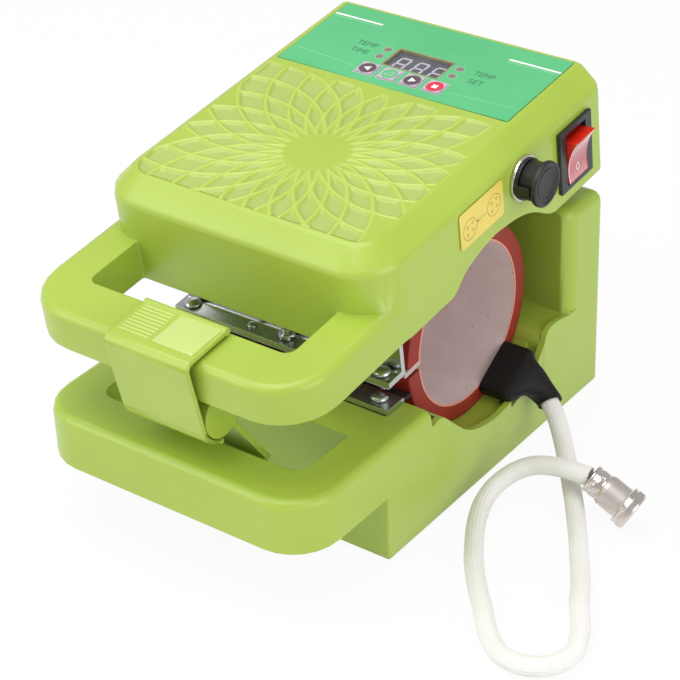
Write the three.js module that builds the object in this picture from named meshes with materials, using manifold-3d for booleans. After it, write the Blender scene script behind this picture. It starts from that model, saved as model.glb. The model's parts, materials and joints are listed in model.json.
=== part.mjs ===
// Clam-shell mug heat press, in millimetres, +Z up, handle end towards -Y.
// The lower housing stands on the ground; the upper housing is drawn level in its own frame
// (lid y, lid z) and then tilted nose-down about the rear edge, as it stands with the latch closed.
import * as THREE from 'three';
import { mergeVertices } from 'three/addons/utils/BufferGeometryUtils.js';
import Module from 'manifold-3d';

const wasm = await Module();
wasm.setup();

// Driving sizes
const width = 151;
const clearance = 0.3; // seating and running gap
const overrun = 6; // how far a cutter runs past what it cuts
const wall = 3;
const half = width / 2;

// Lower housing: lengths from front to rear, heights from the ground up
const base = {
  bottom: 1.5, handle: 57.8, shelf: 20.7, pocket: 12.6, column: 31, deck: 60, loopThick: 26.4,
  loopBar: 23.4, loopSide: 19.5, loopCorner: 23, openingCorner: 8, openingRear: 1.5,
  rearCorner: 4.5, frontCorner: 1, deckFillet: 4, underFillet: 1.2, trayStep: 1, ledgeDrop: 22, troughDrop: 53,
  columnDip: 7, columnCorner: 9, columnFillet: 6,
};

// Heating wrap
const wrap = {
  rise: 12.5, inner: 38.5, liner: 0.8, outer: 47.4, halfLength: 59.5,
  tail: 1.6, seamGap: 0.4, plate: 1.2, plateInset: 9.5, postRadius: 4,
};
const wrapLowerLip = 13 * Math.PI / 180;
const wrapUpperLip = 2 * Math.PI / 180;
const plateReach = 43 * Math.PI / 180;
const trough = wrap.outer + clearance;

const plateHalf = wrap.halfLength - wrap.plateInset;

// Clamp bars that hold the tails of the wrap
const clamp = {
  gap: 6.6, wide: 12.5, thick: 2.6, overhang: 2, upperStep: 4.1, upperWide: 12.2, upperRise: 8.6,
  upperThick: 3, upperOverhang: 0.5, upright: 2.5, flangeWide: 15.9, flangeInset: 10, flangeThick: 2.4,
  screwInset: 6.5, screwShank: 1.9, screwHead: 4.2, screwDome: 2.6, screwDepth: 8,
  midScrewAt: -18.6, midHead: 2.4, nutAt: 1, nutWidth: 7, nutHigh: 3.2,
};
const clampHalf = wrap.halfLength + clamp.overhang;
const upperClampHalf = wrap.halfLength + clamp.upperOverhang;
const flangeHalf = upperClampHalf - clamp.flangeInset;
const screwAt = wrap.halfLength - clamp.screwInset;
const clampFront = base.handle + base.shelf;
const clampRear = clampFront + clamp.wide;
const lowerScrewY = (clampFront + clampRear) / 2;
const trayFront = clampRear - base.trayStep;

// Places of the bore, the column and the ledge
const wrapY = clampRear + clamp.gap + wrap.outer;
const wrapZ = base.deck + wrap.rise;
const columnFront = wrapY + wrap.outer + base.pocket;
const length = columnFront + base.column;
const loopUnder = base.deck - base.loopThick;
const ledge = wrapZ - base.ledgeDrop;

// Hinge behind the wrap, between the column and the upper housing
const hinge = {
  inset: 11, above: 38.8, rise: 6.3, pin: 2.5, knuckle: 4.8, lugWidth: 12, lugStart: 31, head: 4.2,
  headThick: 1.6,
};
const hingeY = length - hinge.inset;
const hingeZ = wrapZ + hinge.above;
const columnTop = hingeZ - hinge.rise;

// Upper housing, in its own level frame
const lid = {
  tilt: 6.21 * Math.PI / 180, pivotRise: 46.5, overhang: 0.6, handle: 57.4, rearInset: 2, strip: 17,
  underRise: 40, rearDrop: 5.1, loopThick: 19.4, wallHigh: 38.9, chamferRise: 9, chamferRun: 10.2,
  loopBar: 24.1, loopSide: 21, loopCorner: 26, openingCorner: 5, openingRear: 1.5,
  bodyCorner: 21, rearCorner: 3.5, fillet: 4, underFillet: 1.2, skin: 2.8, cover: 2.2,
};
const chamferRearShare = 0.09;
const pivotY = length;
const pivotZ = wrapZ + lid.pivotRise;

// A point of the upright world in the lid's level frame.
function inLid(y, z) {
  const dy = y - pivotY;
  const dz = z - pivotZ;
  return [pivotY + dy * Math.cos(lid.tilt) + dz * Math.sin(lid.tilt),
    pivotZ - dy * Math.sin(lid.tilt) + dz * Math.cos(lid.tilt)];
}

const [wrapLidY, wrapLidZ] = inLid(wrapY, wrapZ);
const [hingeLidY, hingeLidZ] = inLid(hingeY, hingeZ);
const lidFront = -lid.overhang;
const lidRear = length - lid.rearInset;
const bodyFront = lidFront + lid.handle;
const lidUnder = wrapLidZ + lid.underRise;
const rearUnder = lidUnder - lid.rearDrop;
const loopTop = lidUnder + lid.loopThick;
const crease = lidUnder + lid.wallHigh;
const lidTop = crease + lid.chamferRise;
const stripFront = lidRear - lid.strip;
const upperClampRear = wrapLidY - wrap.outer - clamp.gap + clamp.upperStep;
const upperClampFront = upperClampRear - clamp.upperWide;
const upperClampTop = wrapLidZ + clamp.upperRise;
const upperScrewY = (upperClampFront + upperClampRear - clamp.upright) / 2;

// Latch on the front bar of the upper handle, about its own axis
const latch = {
  x: 2.5, inset: 12.2, drop: 13.9, halfWidth: 22, strap: 2, topGap: 1.3, bend: 4.5, bead: 1.9, beadReach: 9.9,
  barrel: 11.6, barrelHalf: 21.6, notchHalf: 7.9, eye: 7.6, eyeHalf: 4, eyeWall: 3.3,
  pin: 2, pinHalf: 19, hookReach: 48.3, hookThick: 2.6, flangeHalf: 16, flangeWide: 6,
};
const latchLean = 6.7 * Math.PI / 180;
const curlEnd = 258 * Math.PI / 180;
const hookAngle = -60.7 * Math.PI / 180;
const toeAngle = 14 * Math.PI / 180;
const latchY = lidFront + latch.inset;
const latchZ = lidUnder - latch.drop;
const strapInner = latch.drop + lid.loopThick + latch.topGap;

// Rocker switch, panel socket and label on the right face, in the lid's frame
const rocker = {
  fromRear: 25.7, rise: 17.5, frameWide: 26.4, frameHigh: 31.4, frameProud: 1.8, bodyWide: 22, bodyHigh: 28.8,
  bodyDeep: 15, shell: 1.2, keyWide: 16, keyReach: 12.9, keyProud: 5.4, keyDip: 2.6, keyBack: 5,
  keyBackHalf: 8.5, pivotIn: 1.9, peg: 1.2, pegLength: 0.8,
};
const rockerTilt = 11 * Math.PI / 180;
const rockerY = lidRear - rocker.fromRear;
const rockerZ = lidUnder + rocker.rise;
const socket = {
  fromRear: 67.3, rise: 27.9, barrel: 7.4, barrelOut: 9, barrelIn: 12, flange: 10.4, flangeThick: 1.6,
  nut: 9.6, nutThick: 2.4, bore: 5.8, boreDepth: 3,
};
const socketY = lidRear - socket.fromRear;
const socketZ = lidUnder + socket.rise;
const cap = { tube: 9, tubeLength: 6.5, disc: 10.5, discLength: 2.8, ring: 9.8, ringThick: 1.2,
  bandThick: 1.2, bandWide: 5 };
const label = { fromRear: 117.1, long: 33.3, rise: 19.1, high: 17.7, thick: 0.4 };

// Control panel, in the lid's frame; places along Y count from its front edge
const panel = {
  x: 0.3, rearInset: 2.2, deep: 56.6, half: 63.4, corner: 0.8, thick: 0.8, sink: 0.9,
  displayAt: 24, displayWide: 30, displayDeep: 15.2, displaySunk: 1.2,
  keyAt: 10, keyPitch: 12.35, keySize: 8.8, keyThick: 2.4, keyProud: 0.4, stem: 1.5, travel: 0.6,
  lampX: 20, lampAt: 25, lampSpread: 3.3, lamp: 1.6, lampProud: 0.2,
  boardHalf: 50, boardInset: 3.8, boardDeep: 47, boardDrop: 16.9, boardThick: 1.6,
  boss: 3.2, bossInset: 4, relayWide: 20, relayDeep: 16, relayHigh: 14, relayX: 28,
};
const panelRear = lidRear - panel.rearInset;
const panelFront = panelRear - panel.deep;
const boardFront = panelFront + panel.boardInset;
const boardRear = boardFront + panel.boardDeep;
const boardTop = lidTop - panel.boardDrop;

// Bottom cover, feet, screws and the blanked mains gland
const cover = { thick: 2.5, foot: 8, footInset: 14, boss: 5.2, bossInset: 7.8, bossHigh: 16, shank: 1.5,
  pilot: 1.8, head: 3, headThick: 1.5, shankLength: 9 };
const gland = { x: -38, rise: 19.4, nut: 9.5, nutThick: 3.5, dome: 7, domeLength: 3.5, shank: 6, shankLength: 8,
  lockThick: 3 };
const glandZ = lidUnder + gland.rise;

// Boot, sleeved cable and its connector
const boot = { notchAt: 11.4, notchWide: 27.7, notchDrop: 50, notchCorner: 5, halfWide: 13.5 };
const notchFront = wrapY + boot.notchAt;
const notchRear = notchFront + boot.notchWide;
const notchLow = wrapZ - boot.notchDrop;
// Stations from the wrap's end to the mouth, as shares: x of the way out to the mouth, y and z of the wrap's
// outer radius from its centre, both half sizes of the boot's half width, and the squareness of the section
const bootShares = [
  [0, 0.4409, -0.7321, 1, 0.326, 5],
  [0.28, 0.4409, -0.7321, 1, 0.335, 5],
  [0.41, 0.4409, -0.728, 0.98, 0.345, 4.4],
  [0.47, 0.455, -0.735, 0.84, 0.355, 3.6],
  [0.55, 0.475, -0.745, 0.7, 0.37, 3.2],
  [0.64, 0.52, -0.80, 0.62, 0.41, 2.6],
  [0.74, 0.5585, -0.86, 0.53, 0.43, 2.2],
  [0.87, 0.567, -0.915, 0.46, 0.437, 2],
  [1, 0, 0, 0.437, 0.437, 2],
];
const bootLean = -59 * Math.PI / 180;
const cableDiameter = 8.6;
const cablePath = [
  [86.5, 171.2, 26.4], [93.5, 166.7, 21.3], [99.9, 161.2, 16.4], [106.1, 154.7, 12.4], [112.2, 147.7, 9.3],
  [118.1, 140.3, 7.1], [124.0, 132.6, 5.7], [129.7, 124.7, 5.0], [135.3, 116.7, 4.7], [140.8, 108.6, 4.6],
  [146.1, 100.4, 4.6], [151.5, 92.2, 4.6], [156.6, 83.9, 4.6], [162.3, 73.4, 4.6], [168.2, 64.6, 4.6],
  [173.0, 55.8, 4.6], [176.3, 45.4, 4.6], [173.3, 34.6, 4.6], [164.1, 27.8, 4.6], [152.9, 27.9, 4.6],
  [143.0, 34.4, 4.6], [136.2, 41.4, 4.6], [130.1, 48.7, 4.6], [122.1, 57.4, 4.6], [114.4, 66.6, 4.6],
  [108.0, 75.2, 4.6], [102.4, 84.1, 4.6], [97.4, 92.5, 4.8], [93.2, 101.3, 5.3], [90.2, 110.5, 6.7],
  [90.0, 119.8, 9.4], [93.8, 127.7, 13.4], [101.1, 132.8, 17.4], [110.3, 134.4, 20.1], [119.9, 134.9, 21.4],
  [129.6, 136.3, 20.6],
].map((point) => new THREE.Vector3(...point));
const plugEnd = new THREE.Vector3(151.6, 138.0, 8.5);
const plug = { nut: 6.6, nutLength: 7, body: 7.4, bodyLength: 13, ring: 9.3, ringLength: 6.4, shell: 1.5,
  insertSink: 1.2, mouth: 5.3, mouthDeep: 2.8 };

const round = { hex: 6, curl: 10, small: 12, medium: 24, barrel: 36, large: 48 };

// Solid helpers

function solidOf(geometry) {
  const bare = geometry.clone();
  bare.deleteAttribute('normal');
  bare.deleteAttribute('uv');
  const merged = mergeVertices(bare, 1e-5);
  return new wasm.Manifold(new wasm.Mesh({
    numProp: 3,
    vertProperties: Float32Array.from(merged.attributes.position.array),
    triVerts: Uint32Array.from(merged.index.array),
  }));
}

function geometryOf(solid) {
  const mesh = solid.getMesh();
  const geometry = new THREE.BufferGeometry();
  geometry.setAttribute('position', new THREE.BufferAttribute(Float32Array.from(mesh.vertProperties), 3));
  geometry.setIndex(new THREE.BufferAttribute(Uint32Array.from(mesh.triVerts), 1));
  const flat = geometry.toNonIndexed();
  flat.computeVertexNormals();
  return flat;
}

function union(...solids) {
  return solids.reduce((sum, solid) => sum.add(solid));
}

function cut(body, ...tools) {
  return tools.reduce((rest, tool) => rest.subtract(tool), body);
}

function block(x0, x1, y0, y1, z0, z1) {
  const geometry = new THREE.BoxGeometry(x1 - x0, y1 - y0, z1 - z0);
  geometry.translate((x0 + x1) / 2, (y0 + y1) / 2, (z0 + z1) / 2);
  return solidOf(geometry);
}

// A profile of [y, z] points carried along X.
function prismX(points, x0, x1) {
  const shape = new THREE.Shape(points.map(([y, z]) => new THREE.Vector2(y, z)));
  const geometry = new THREE.ExtrudeGeometry(shape, { depth: x1 - x0, bevelEnabled: false });
  const toWorld = new THREE.Matrix4().makeBasis(
    new THREE.Vector3(0, 1, 0), new THREE.Vector3(0, 0, 1), new THREE.Vector3(1, 0, 0));
  toWorld.setPosition(x0, 0, 0);
  return solidOf(geometry.applyMatrix4(toWorld));
}

// A turned body from a profile of [radius, height] points, about an axis through origin along direction.
function turned(profile, origin, direction, sides = round.medium) {
  const geometry = new THREE.LatheGeometry(profile.map(([r, h]) => new THREE.Vector2(r, h)), sides);
  const turn = new THREE.Quaternion().setFromUnitVectors(new THREE.Vector3(0, 1, 0), direction);
  geometry.applyQuaternion(turn);
  geometry.translate(origin.x, origin.y, origin.z);
  return solidOf(geometry);
}

function rodX(x0, x1, y, z, radius, sides = round.medium) {
  return turned([[0, 0], [radius, 0], [radius, x1 - x0], [0, x1 - x0]],
    new THREE.Vector3(x0, y, z), new THREE.Vector3(1, 0, 0), sides);
}

function rodZ(x, y, z0, z1, radius, sides = round.medium) {
  return turned([[0, 0], [radius, 0], [radius, z1 - z0], [0, z1 - z0]],
    new THREE.Vector3(x, y, z0), new THREE.Vector3(0, 0, 1), sides);
}

function arc(y, z, radius, from, to, steps) {
  return Array.from({ length: steps + 1 }, (_, i) => {
    const angle = from + (to - from) * i / steps;
    return [y + radius * Math.cos(angle), z + radius * Math.sin(angle)];
  });
}

// Part of a tube wall along X, between two radii and two angles.
function sector(y, z, inner, outer, from, to, x0, x1, steps = round.medium) {
  return prismX([...arc(y, z, outer, from, to, steps), ...arc(y, z, inner, to, from, steps)], x0, x1);
}

// Rounded rectangle with its own front and rear corner radii, drawn inwards by inset.
function outline(plan, inset) {
  const corners = [
    [plan.x1, plan.y0, plan.front, -Math.PI / 2], [plan.x1, plan.y1, plan.rear, 0],
    [plan.x0, plan.y1, plan.rear, Math.PI / 2], [plan.x0, plan.y0, plan.front, Math.PI],
  ];
  const middle = [(plan.x0 + plan.x1) / 2, (plan.y0 + plan.y1) / 2];
  return corners.flatMap(([x, y, radius, start]) => {
    const r = Math.max(radius - inset, clearance);
    const side = Math.sign(y - middle[1]);
    const insetY = side > 0 ? inset * (plan.rearShare ?? 1) : inset;
    const cx = x - Math.sign(x - middle[0]) * (inset + r);
    const cy = y - side * (insetY + r);
    return arc(cx, cy, r, start, start + Math.PI / 2, plan.steps ?? 6);
  });
}

// A closed skin over rings of equally many points, with flat ends.
function loft(rings) {
  const count = rings[0].length;
  const position = rings.flat().flatMap((point) => [point.x, point.y, point.z]);
  const index = [];
  for (let level = 0; level < rings.length - 1; level += 1) {
    for (let i = 0; i < count; i += 1) {
      const a = level * count + i;
      const b = level * count + (i + 1) % count;
      index.push(a, b, b + count, a, b + count, a + count);
    }
  }
  const last = (rings.length - 1) * count;
  for (let i = 1; i < count - 1; i += 1) {
    index.push(0, i + 1, i);
    index.push(last, last + i, last + i + 1);
  }
  const geometry = new THREE.BufferGeometry();
  geometry.setAttribute('position', new THREE.BufferAttribute(Float32Array.from(position), 3));
  geometry.setIndex(index);
  return solidOf(geometry);
}

// A plan carried up through levels of [z, inset].
function tower(plan, levels) {
  return loft(levels.map(([z, inset]) => outline(plan, inset).map(([x, y]) => new THREE.Vector3(x, y, z))));
}

function rounded(z0, z1, under, over, steps = 3) {
  const quarter = Array.from({ length: steps + 1 }, (_, i) => Math.PI / 2 * i / steps);
  const low = quarter.map((a) => [z0 + under * (1 - Math.sin(a)), under * (1 - Math.cos(a))]).reverse();
  const high = quarter.map((a) => [z1 - over * (1 - Math.sin(a)), over * (1 - Math.cos(a))]);
  return [...(under ? low.map(([z, inset]) => [z, inset]) : [[z0, 0]]), ...(over ? high : [[z1, 0]])];
}

// Scene helpers

const press = new THREE.Group();
const upper = new THREE.Group();
const upperFrame = new THREE.Group();
const latchFrame = new THREE.Group();
upper.position.set(0, pivotY, pivotZ);
upper.rotation.x = lid.tilt;
upperFrame.position.set(0, -pivotY, -pivotZ);
latchFrame.position.set(latch.x, latchY, latchZ);
upperFrame.add(latchFrame);
upper.add(upperFrame);
press.add(upper);

function finish(color, roughness, metalness = 0) {
  return new THREE.MeshStandardMaterial({ color, roughness, metalness });
}

const lime = finish(0xb4d152, 0.32);
const steel = finish(0xb9bcbd, 0.3, 1);
const nickel = finish(0xcfcac4, 0.22, 1);
const redSilicone = finish(0xb03428, 0.6);
const linerCloth = finish(0xa59090, 0.85);
const blackRubber = finish(0x1e1c1e, 0.6);
const blackPlastic = finish(0x242629, 0.45);

function add(name, solid, material, parent = press) {
  const mesh = new THREE.Mesh(geometryOf(solid), material);
  mesh.name = name;
  parent.add(mesh);
  return mesh;
}

// Side contours, as shares of the wrap's outer radius from its centre, chosen by hand from front to rear
const lowerArchShares = [[-1.118, -0.2], [-1.118, -0.42], [-1.08, -0.435], [-1.015, -0.411], [-0.93, -0.43],
  [-0.86, -0.49], [-0.77, -0.58], [-0.6, -0.743], [-0.48, -0.825], [-0.357, -0.878], [-0.18, -0.92], [0.019, -0.935],
  [0.2, -0.912], [0.38, -0.88], [0.57, -0.82], [0.72, -0.72], [0.82, -0.6], [0.87, -0.48], [0.94, -0.425],
  [1.05, -0.415], [1.3, -0.464]];
const upperArchShares = [[-0.66, 0.844], [-0.58, 0.885], [-0.454, 0.979], [-0.27, 1.045], [-0.074, 1.08],
  [0.057, 1.095], [0.211, 1.082], [0.42, 1.052], [0.6, 1.0], [0.76, 0.92], [0.897, 0.823], [1.0, 0.762],
  [1.1, 0.734]];

function contour(shares, y, z) {
  const curve = new THREE.CatmullRomCurve3(shares.map(([dy, dz]) => new THREE.Vector3(dy, dz, 0)), false,
    'centripetal');
  return curve.getPoints(2 * (shares.length - 1))
    .map((point) => [y + point.x * wrap.outer, z + point.y * wrap.outer]);
}

// Lower housing

const openingPlan = { x0: -half + base.loopSide, x1: half - base.loopSide, y0: base.loopBar, y1: base.handle,
  front: base.openingCorner, rear: base.openingRear };

function baseChannel(gap) {
  const inner = wall + gap;
  const plan = { x0: -half + inner, x1: half - inner, y0: inner, y1: base.handle - wall - gap,
    front: base.loopCorner - inner, rear: clearance };
  const island = { x0: openingPlan.x0 - inner, x1: openingPlan.x1 + inner, y0: base.loopBar - inner,
    y1: length, front: base.openingCorner + inner, rear: base.openingCorner };
  return (z0, z1) => tower(plan, [[z0, 0], [z1, 0]])
    .subtract(tower(island, [[z0 - overrun, 0], [z1 + overrun, 0]]));
}

function baseHousing() {
  const deckPlan = { x0: -half, x1: half, y0: 0, y1: length, front: base.loopCorner, rear: base.rearCorner };
  const legPlan = { ...deckPlan, y0: base.handle, front: base.frontCorner };
  const columnPlan = { ...deckPlan, y0: columnFront, front: base.columnCorner };
  const deck = tower(deckPlan, rounded(loopUnder, base.deck, base.underFillet, base.deckFillet));
  const legs = tower(legPlan, [[base.bottom, 0], [(loopUnder + ledge) / 2, 0]]);
  const arch = contour(lowerArchShares, wrapY, wrapZ);
  const archCut = prismX([...arch, [length, arch.at(-1)[1]], [length, base.deck + overrun],
    [trayFront, base.deck + overrun]].reverse(), -half - overrun, half + overrun);
  const inner = half - wall;
  const troughCut = rodX(-inner, inner, wrapY, wrapZ, trough, round.large)
    .intersect(block(-inner, inner, trayFront, columnFront, (wrapZ - base.troughDrop), base.deck + overrun));
  const ledgeCut = block(-inner, inner, wrapY, length, ledge, base.deck + overrun);
  const tailSeat = block(-upperClampHalf - clearance, upperClampHalf + clearance,
    clampFront - clearance, wrapY, base.deck - wrap.tail - 2 * clearance, base.deck + overrun);
  const bootNotch = prismX([
    ...arc(notchFront + boot.notchCorner, notchLow + boot.notchCorner, boot.notchCorner,
      Math.PI, 1.5 * Math.PI, 5),
    ...arc(notchRear - boot.notchCorner, notchLow + boot.notchCorner, boot.notchCorner,
      1.5 * Math.PI, 2 * Math.PI, 5),
    [notchRear, ledge], [notchFront, ledge],
  ], inner - overrun, half + overrun);
  let body = cut(deck.add(legs), archCut, troughCut, ledgeCut, tailSeat, bootNotch,
    tower(openingPlan, [[loopUnder - overrun, 0], [base.deck + overrun, 0]]));
  const dipRadius = (half ** 2 / base.columnDip + base.columnDip) / 2;
  const column = tower(columnPlan, rounded((wrapZ - base.troughDrop), columnTop, 0, base.columnFillet, 4))
    .subtract(rodZ(0, columnFront + base.columnDip - dipRadius, ledge, columnTop + overrun,
      dipRadius, 3 * round.large));
  body = body.add(column);
  for (const side of [-1, 1]) {
    const start = side * (hinge.lugStart + hinge.lugWidth + 2 * clearance);
    const ends = [start, start + side * hinge.lugWidth].sort((a, b) => a - b);
    body = body.add(rodX(...ends, hingeY, hingeZ, hinge.knuckle))
      .add(block(...ends, hingeY - hinge.knuckle, hingeY + hinge.knuckle, columnTop - wall, hingeZ));
  }
  body = cut(body, baseChannel(0)(loopUnder - overrun, base.deck - wall), baseRoom(),
    rodX(-half, half, hingeY, hingeZ, hinge.pin + clearance));
  for (const [x, y] of bossPlaces(base.handle + wall, length - wall)) {
    const foot = base.bottom + cover.thick + 2 * clearance;
    body = body.add(rodZ(x, y, foot, foot + cover.bossHigh, cover.boss, round.medium))
      .subtract(rodZ(x, y, foot - overrun, foot + cover.shankLength + wall, cover.pilot, round.small));
  }
  for (const x of [-screwAt, screwAt]) {
    const low = base.deck - clamp.screwDepth - clearance;
    body = body.add(rodZ(x, lowerScrewY, low - wall, base.deck - wall, cover.boss))
      .subtract(rodZ(x, lowerScrewY, low, base.deck + overrun, clamp.screwShank + clearance, round.small));
  }
  return body;
}

// Hollow under the deck, the trough, the ledge and inside the column, open below.
function baseRoom() {
  const inner = half - wall;
  const low = base.bottom - overrun;
  const front = base.handle + wall;
  const rear = length - wall;
  const shell = trough + wall;
  const pocketEnd = clampFront - wall - clearance;
  const underDeck = base.deck - wrap.tail - 2 * clearance - wall;
  const underLedge = ledge - wall;
  const columnRear = columnFront + base.columnDip + wall;
  const start = Math.PI + Math.asin((wrapZ - underDeck) / shell);
  const end = 2 * Math.PI - Math.asin((wrapZ - underLedge) / shell);
  const section = [[front, low], [front, base.deck - wall], [pocketEnd, base.deck - wall],
    [pocketEnd, underDeck], ...arc(wrapY, wrapZ, shell, start, end, round.medium),
    [columnRear, underLedge], [columnRear, columnTop - wall], [rear, columnTop - wall], [rear, low]];
  const notchLining = block(inner - overrun - wall, inner + wall, notchFront - wall, notchRear + wall,
    notchLow - wall, base.deck);
  return prismX(section.reverse(), -inner, inner).subtract(notchLining);
}

function bossPlaces(front, rear) {
  const x = half - cover.bossInset;
  return [-x, x].flatMap((side) => [[side, front + cover.boss], [side, rear - cover.boss]]);
}

function baseBottomCover() {
  const gap = wall + clearance;
  const plan = { x0: -half + gap, x1: half - gap, y0: base.handle + gap, y1: length - gap,
    front: base.frontCorner, rear: base.rearCorner - gap };
  const low = base.bottom + clearance;
  let plate = tower(plan, [[low, 0], [low + cover.thick, 0]]);
  for (const [x, y] of bossPlaces(base.handle + wall, length - wall)) {
    plate = cut(plate, rodZ(x, y, low - overrun, low + overrun, cover.pilot, round.small),
      rodZ(x, y, low - overrun, low + cover.headThick + clearance, cover.head + clearance, round.medium));
  }
  return plate;
}

function baseHandleCover() {
  const low = loopUnder + clearance;
  return baseChannel(clearance)(low, low + lid.cover);
}

function coverScrew(x, y, head) {
  const up = new THREE.Vector3(0, 0, 1);
  const total = cover.headThick + cover.shankLength;
  return turned([[0, 0], [cover.head, 0], [cover.head, cover.headThick], [cover.shank, cover.headThick],
    [cover.shank, total], [0, total]], new THREE.Vector3(x, y, head), up, round.small);
}

// Dome headed screw, head seated at z, shank pointing down.
function domeScrew(x, y, z, head, dome, shank, depth) {
  const steps = [0, 0.35, 0.65, 0.88, 1].map((share) => [head * Math.sqrt(1 - share ** 2), z + dome * share]);
  const profile = [[0, z - depth], [shank, z - depth], [shank, z], ...steps];
  return turned(profile, new THREE.Vector3(x, y, 0), new THREE.Vector3(0, 0, 1), round.medium);
}

function lowerClampBar() {
  const low = base.deck + clearance;
  let bar = block(-clampHalf, clampHalf, clampFront, clampRear, low, low + clamp.thick);
  for (const x of [-screwAt, screwAt]) {
    bar = bar.subtract(rodZ(x, lowerScrewY, low - overrun, low + overrun, clamp.screwShank + clearance,
      round.small));
  }
  return bar;
}

// Heating wrap, lower half with its tail on the deck and upper half with its tail under the bracket

function wrapLower() {
  const start = wrap.seamGap / wrap.outer;
  const shell = sector(wrapY, wrapZ, wrap.inner + wrap.liner + clearance, wrap.outer,
    -Math.PI + wrapLowerLip, -start, -wrap.halfLength, wrap.halfLength, round.large);
  const tailTop = base.deck - clearance / 2;
  const tailRear = wrapY - Math.sqrt(wrap.outer ** 2 - (wrapZ - tailTop) ** 2) + (wrap.outer - wrap.inner) / 3;
  let solid = shell.add(block(-wrap.halfLength, wrap.halfLength, clampFront, tailRear,
    tailTop - wrap.tail, tailTop));
  for (const x of [-screwAt, screwAt]) {
    solid = solid.subtract(rodZ(x, lowerScrewY, base.deck - overrun, base.deck + overrun,
      clamp.screwShank + clearance, round.small));
  }
  return solid;
}

const wrapUpperStart = -lid.tilt;
const wrapUpperEnd = Math.PI - lid.tilt + wrapUpperLip;

function wrapLowerLiner() {
  return sector(wrapY, wrapZ, wrap.inner, wrap.inner + wrap.liner, -Math.PI + wrapLowerLip,
    -wrap.seamGap / wrap.outer, -wrap.halfLength, wrap.halfLength, round.large);
}

function wrapUpper() {
  const shell = sector(wrapLidY, wrapLidZ, wrap.inner + wrap.liner + clearance, wrap.outer,
    wrapUpperStart, wrapUpperEnd, -wrap.halfLength, wrap.halfLength, round.large);
  const tailTop = upperClampTop - clamp.upperThick - clearance;
  const rise = tailTop - wrapLidZ;
  const tailRear = wrapLidY - Math.sqrt(wrap.outer ** 2 - rise ** 2) + (wrap.outer - wrap.inner) / 3;
  let solid = shell.add(block(-wrap.halfLength, wrap.halfLength, upperClampFront, tailRear,
    tailTop - wrap.tail, tailTop));
  for (const [x, radius] of upperFasteners()) {
    solid = solid.subtract(rodZ(x, upperScrewY, tailTop - overrun, tailTop + overrun,
      radius + clearance, round.small));
  }
  return solid;
}

function wrapUpperLiner() {
  return sector(wrapLidY, wrapLidZ, wrap.inner, wrap.inner + wrap.liner, wrapUpperStart, wrapUpperEnd,
    -wrap.halfLength, wrap.halfLength, round.large);
}

// Curved steel plate that presses the upper half down, on two posts under the lid's inner cover.
function upperPressPlate() {
  const low = wrap.outer + clearance;
  const reach = plateReach;
  let plate = sector(wrapLidY, wrapLidZ, low, low + wrap.plate, Math.PI / 2 - reach / 2, Math.PI / 2 + reach / 2,
    -plateHalf, plateHalf);
  const coverLow = wrapLidZ + upperArchShares[4][1] * wrap.outer;
  for (const x of [-plateHalf / 2, plateHalf / 2]) {
    plate = plate.add(rodZ(x, wrapLidY, wrapLidZ + low + wrap.plate / 2, coverLow - clearance, wrap.postRadius));
  }
  return plate;
}

// Upper housing

const upperOpening = { x0: -half + lid.loopSide, x1: half - lid.loopSide, y0: lidFront + lid.loopBar,
  y1: bodyFront, front: lid.openingCorner, rear: lid.openingRear };

function lidChannel(gap) {
  const inner = lid.skin + gap;
  const plan = { x0: -half + inner, x1: half - inner, y0: lidFront + inner, y1: bodyFront - lid.skin - gap,
    front: lid.loopCorner - inner, rear: clearance };
  const island = { x0: upperOpening.x0 - inner, x1: upperOpening.x1 + inner, y0: upperOpening.y0 - inner,
    y1: lidRear, front: lid.openingCorner + inner, rear: lid.openingCorner };
  return (z0, z1) => tower(plan, [[z0, 0], [z1, 0]])
    .subtract(tower(island, [[z0 - overrun, 0], [z1 + overrun, 0]]));
}

function underLid(lift, y0, y1) {
  const arch = contour(upperArchShares, wrapLidY, wrapLidZ);
  const line = [[y0, lidUnder], ...arch, [stripFront, rearUnder], [y1, rearUnder]];
  return line.map(([y, z]) => [y, z + lift]);
}

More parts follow.
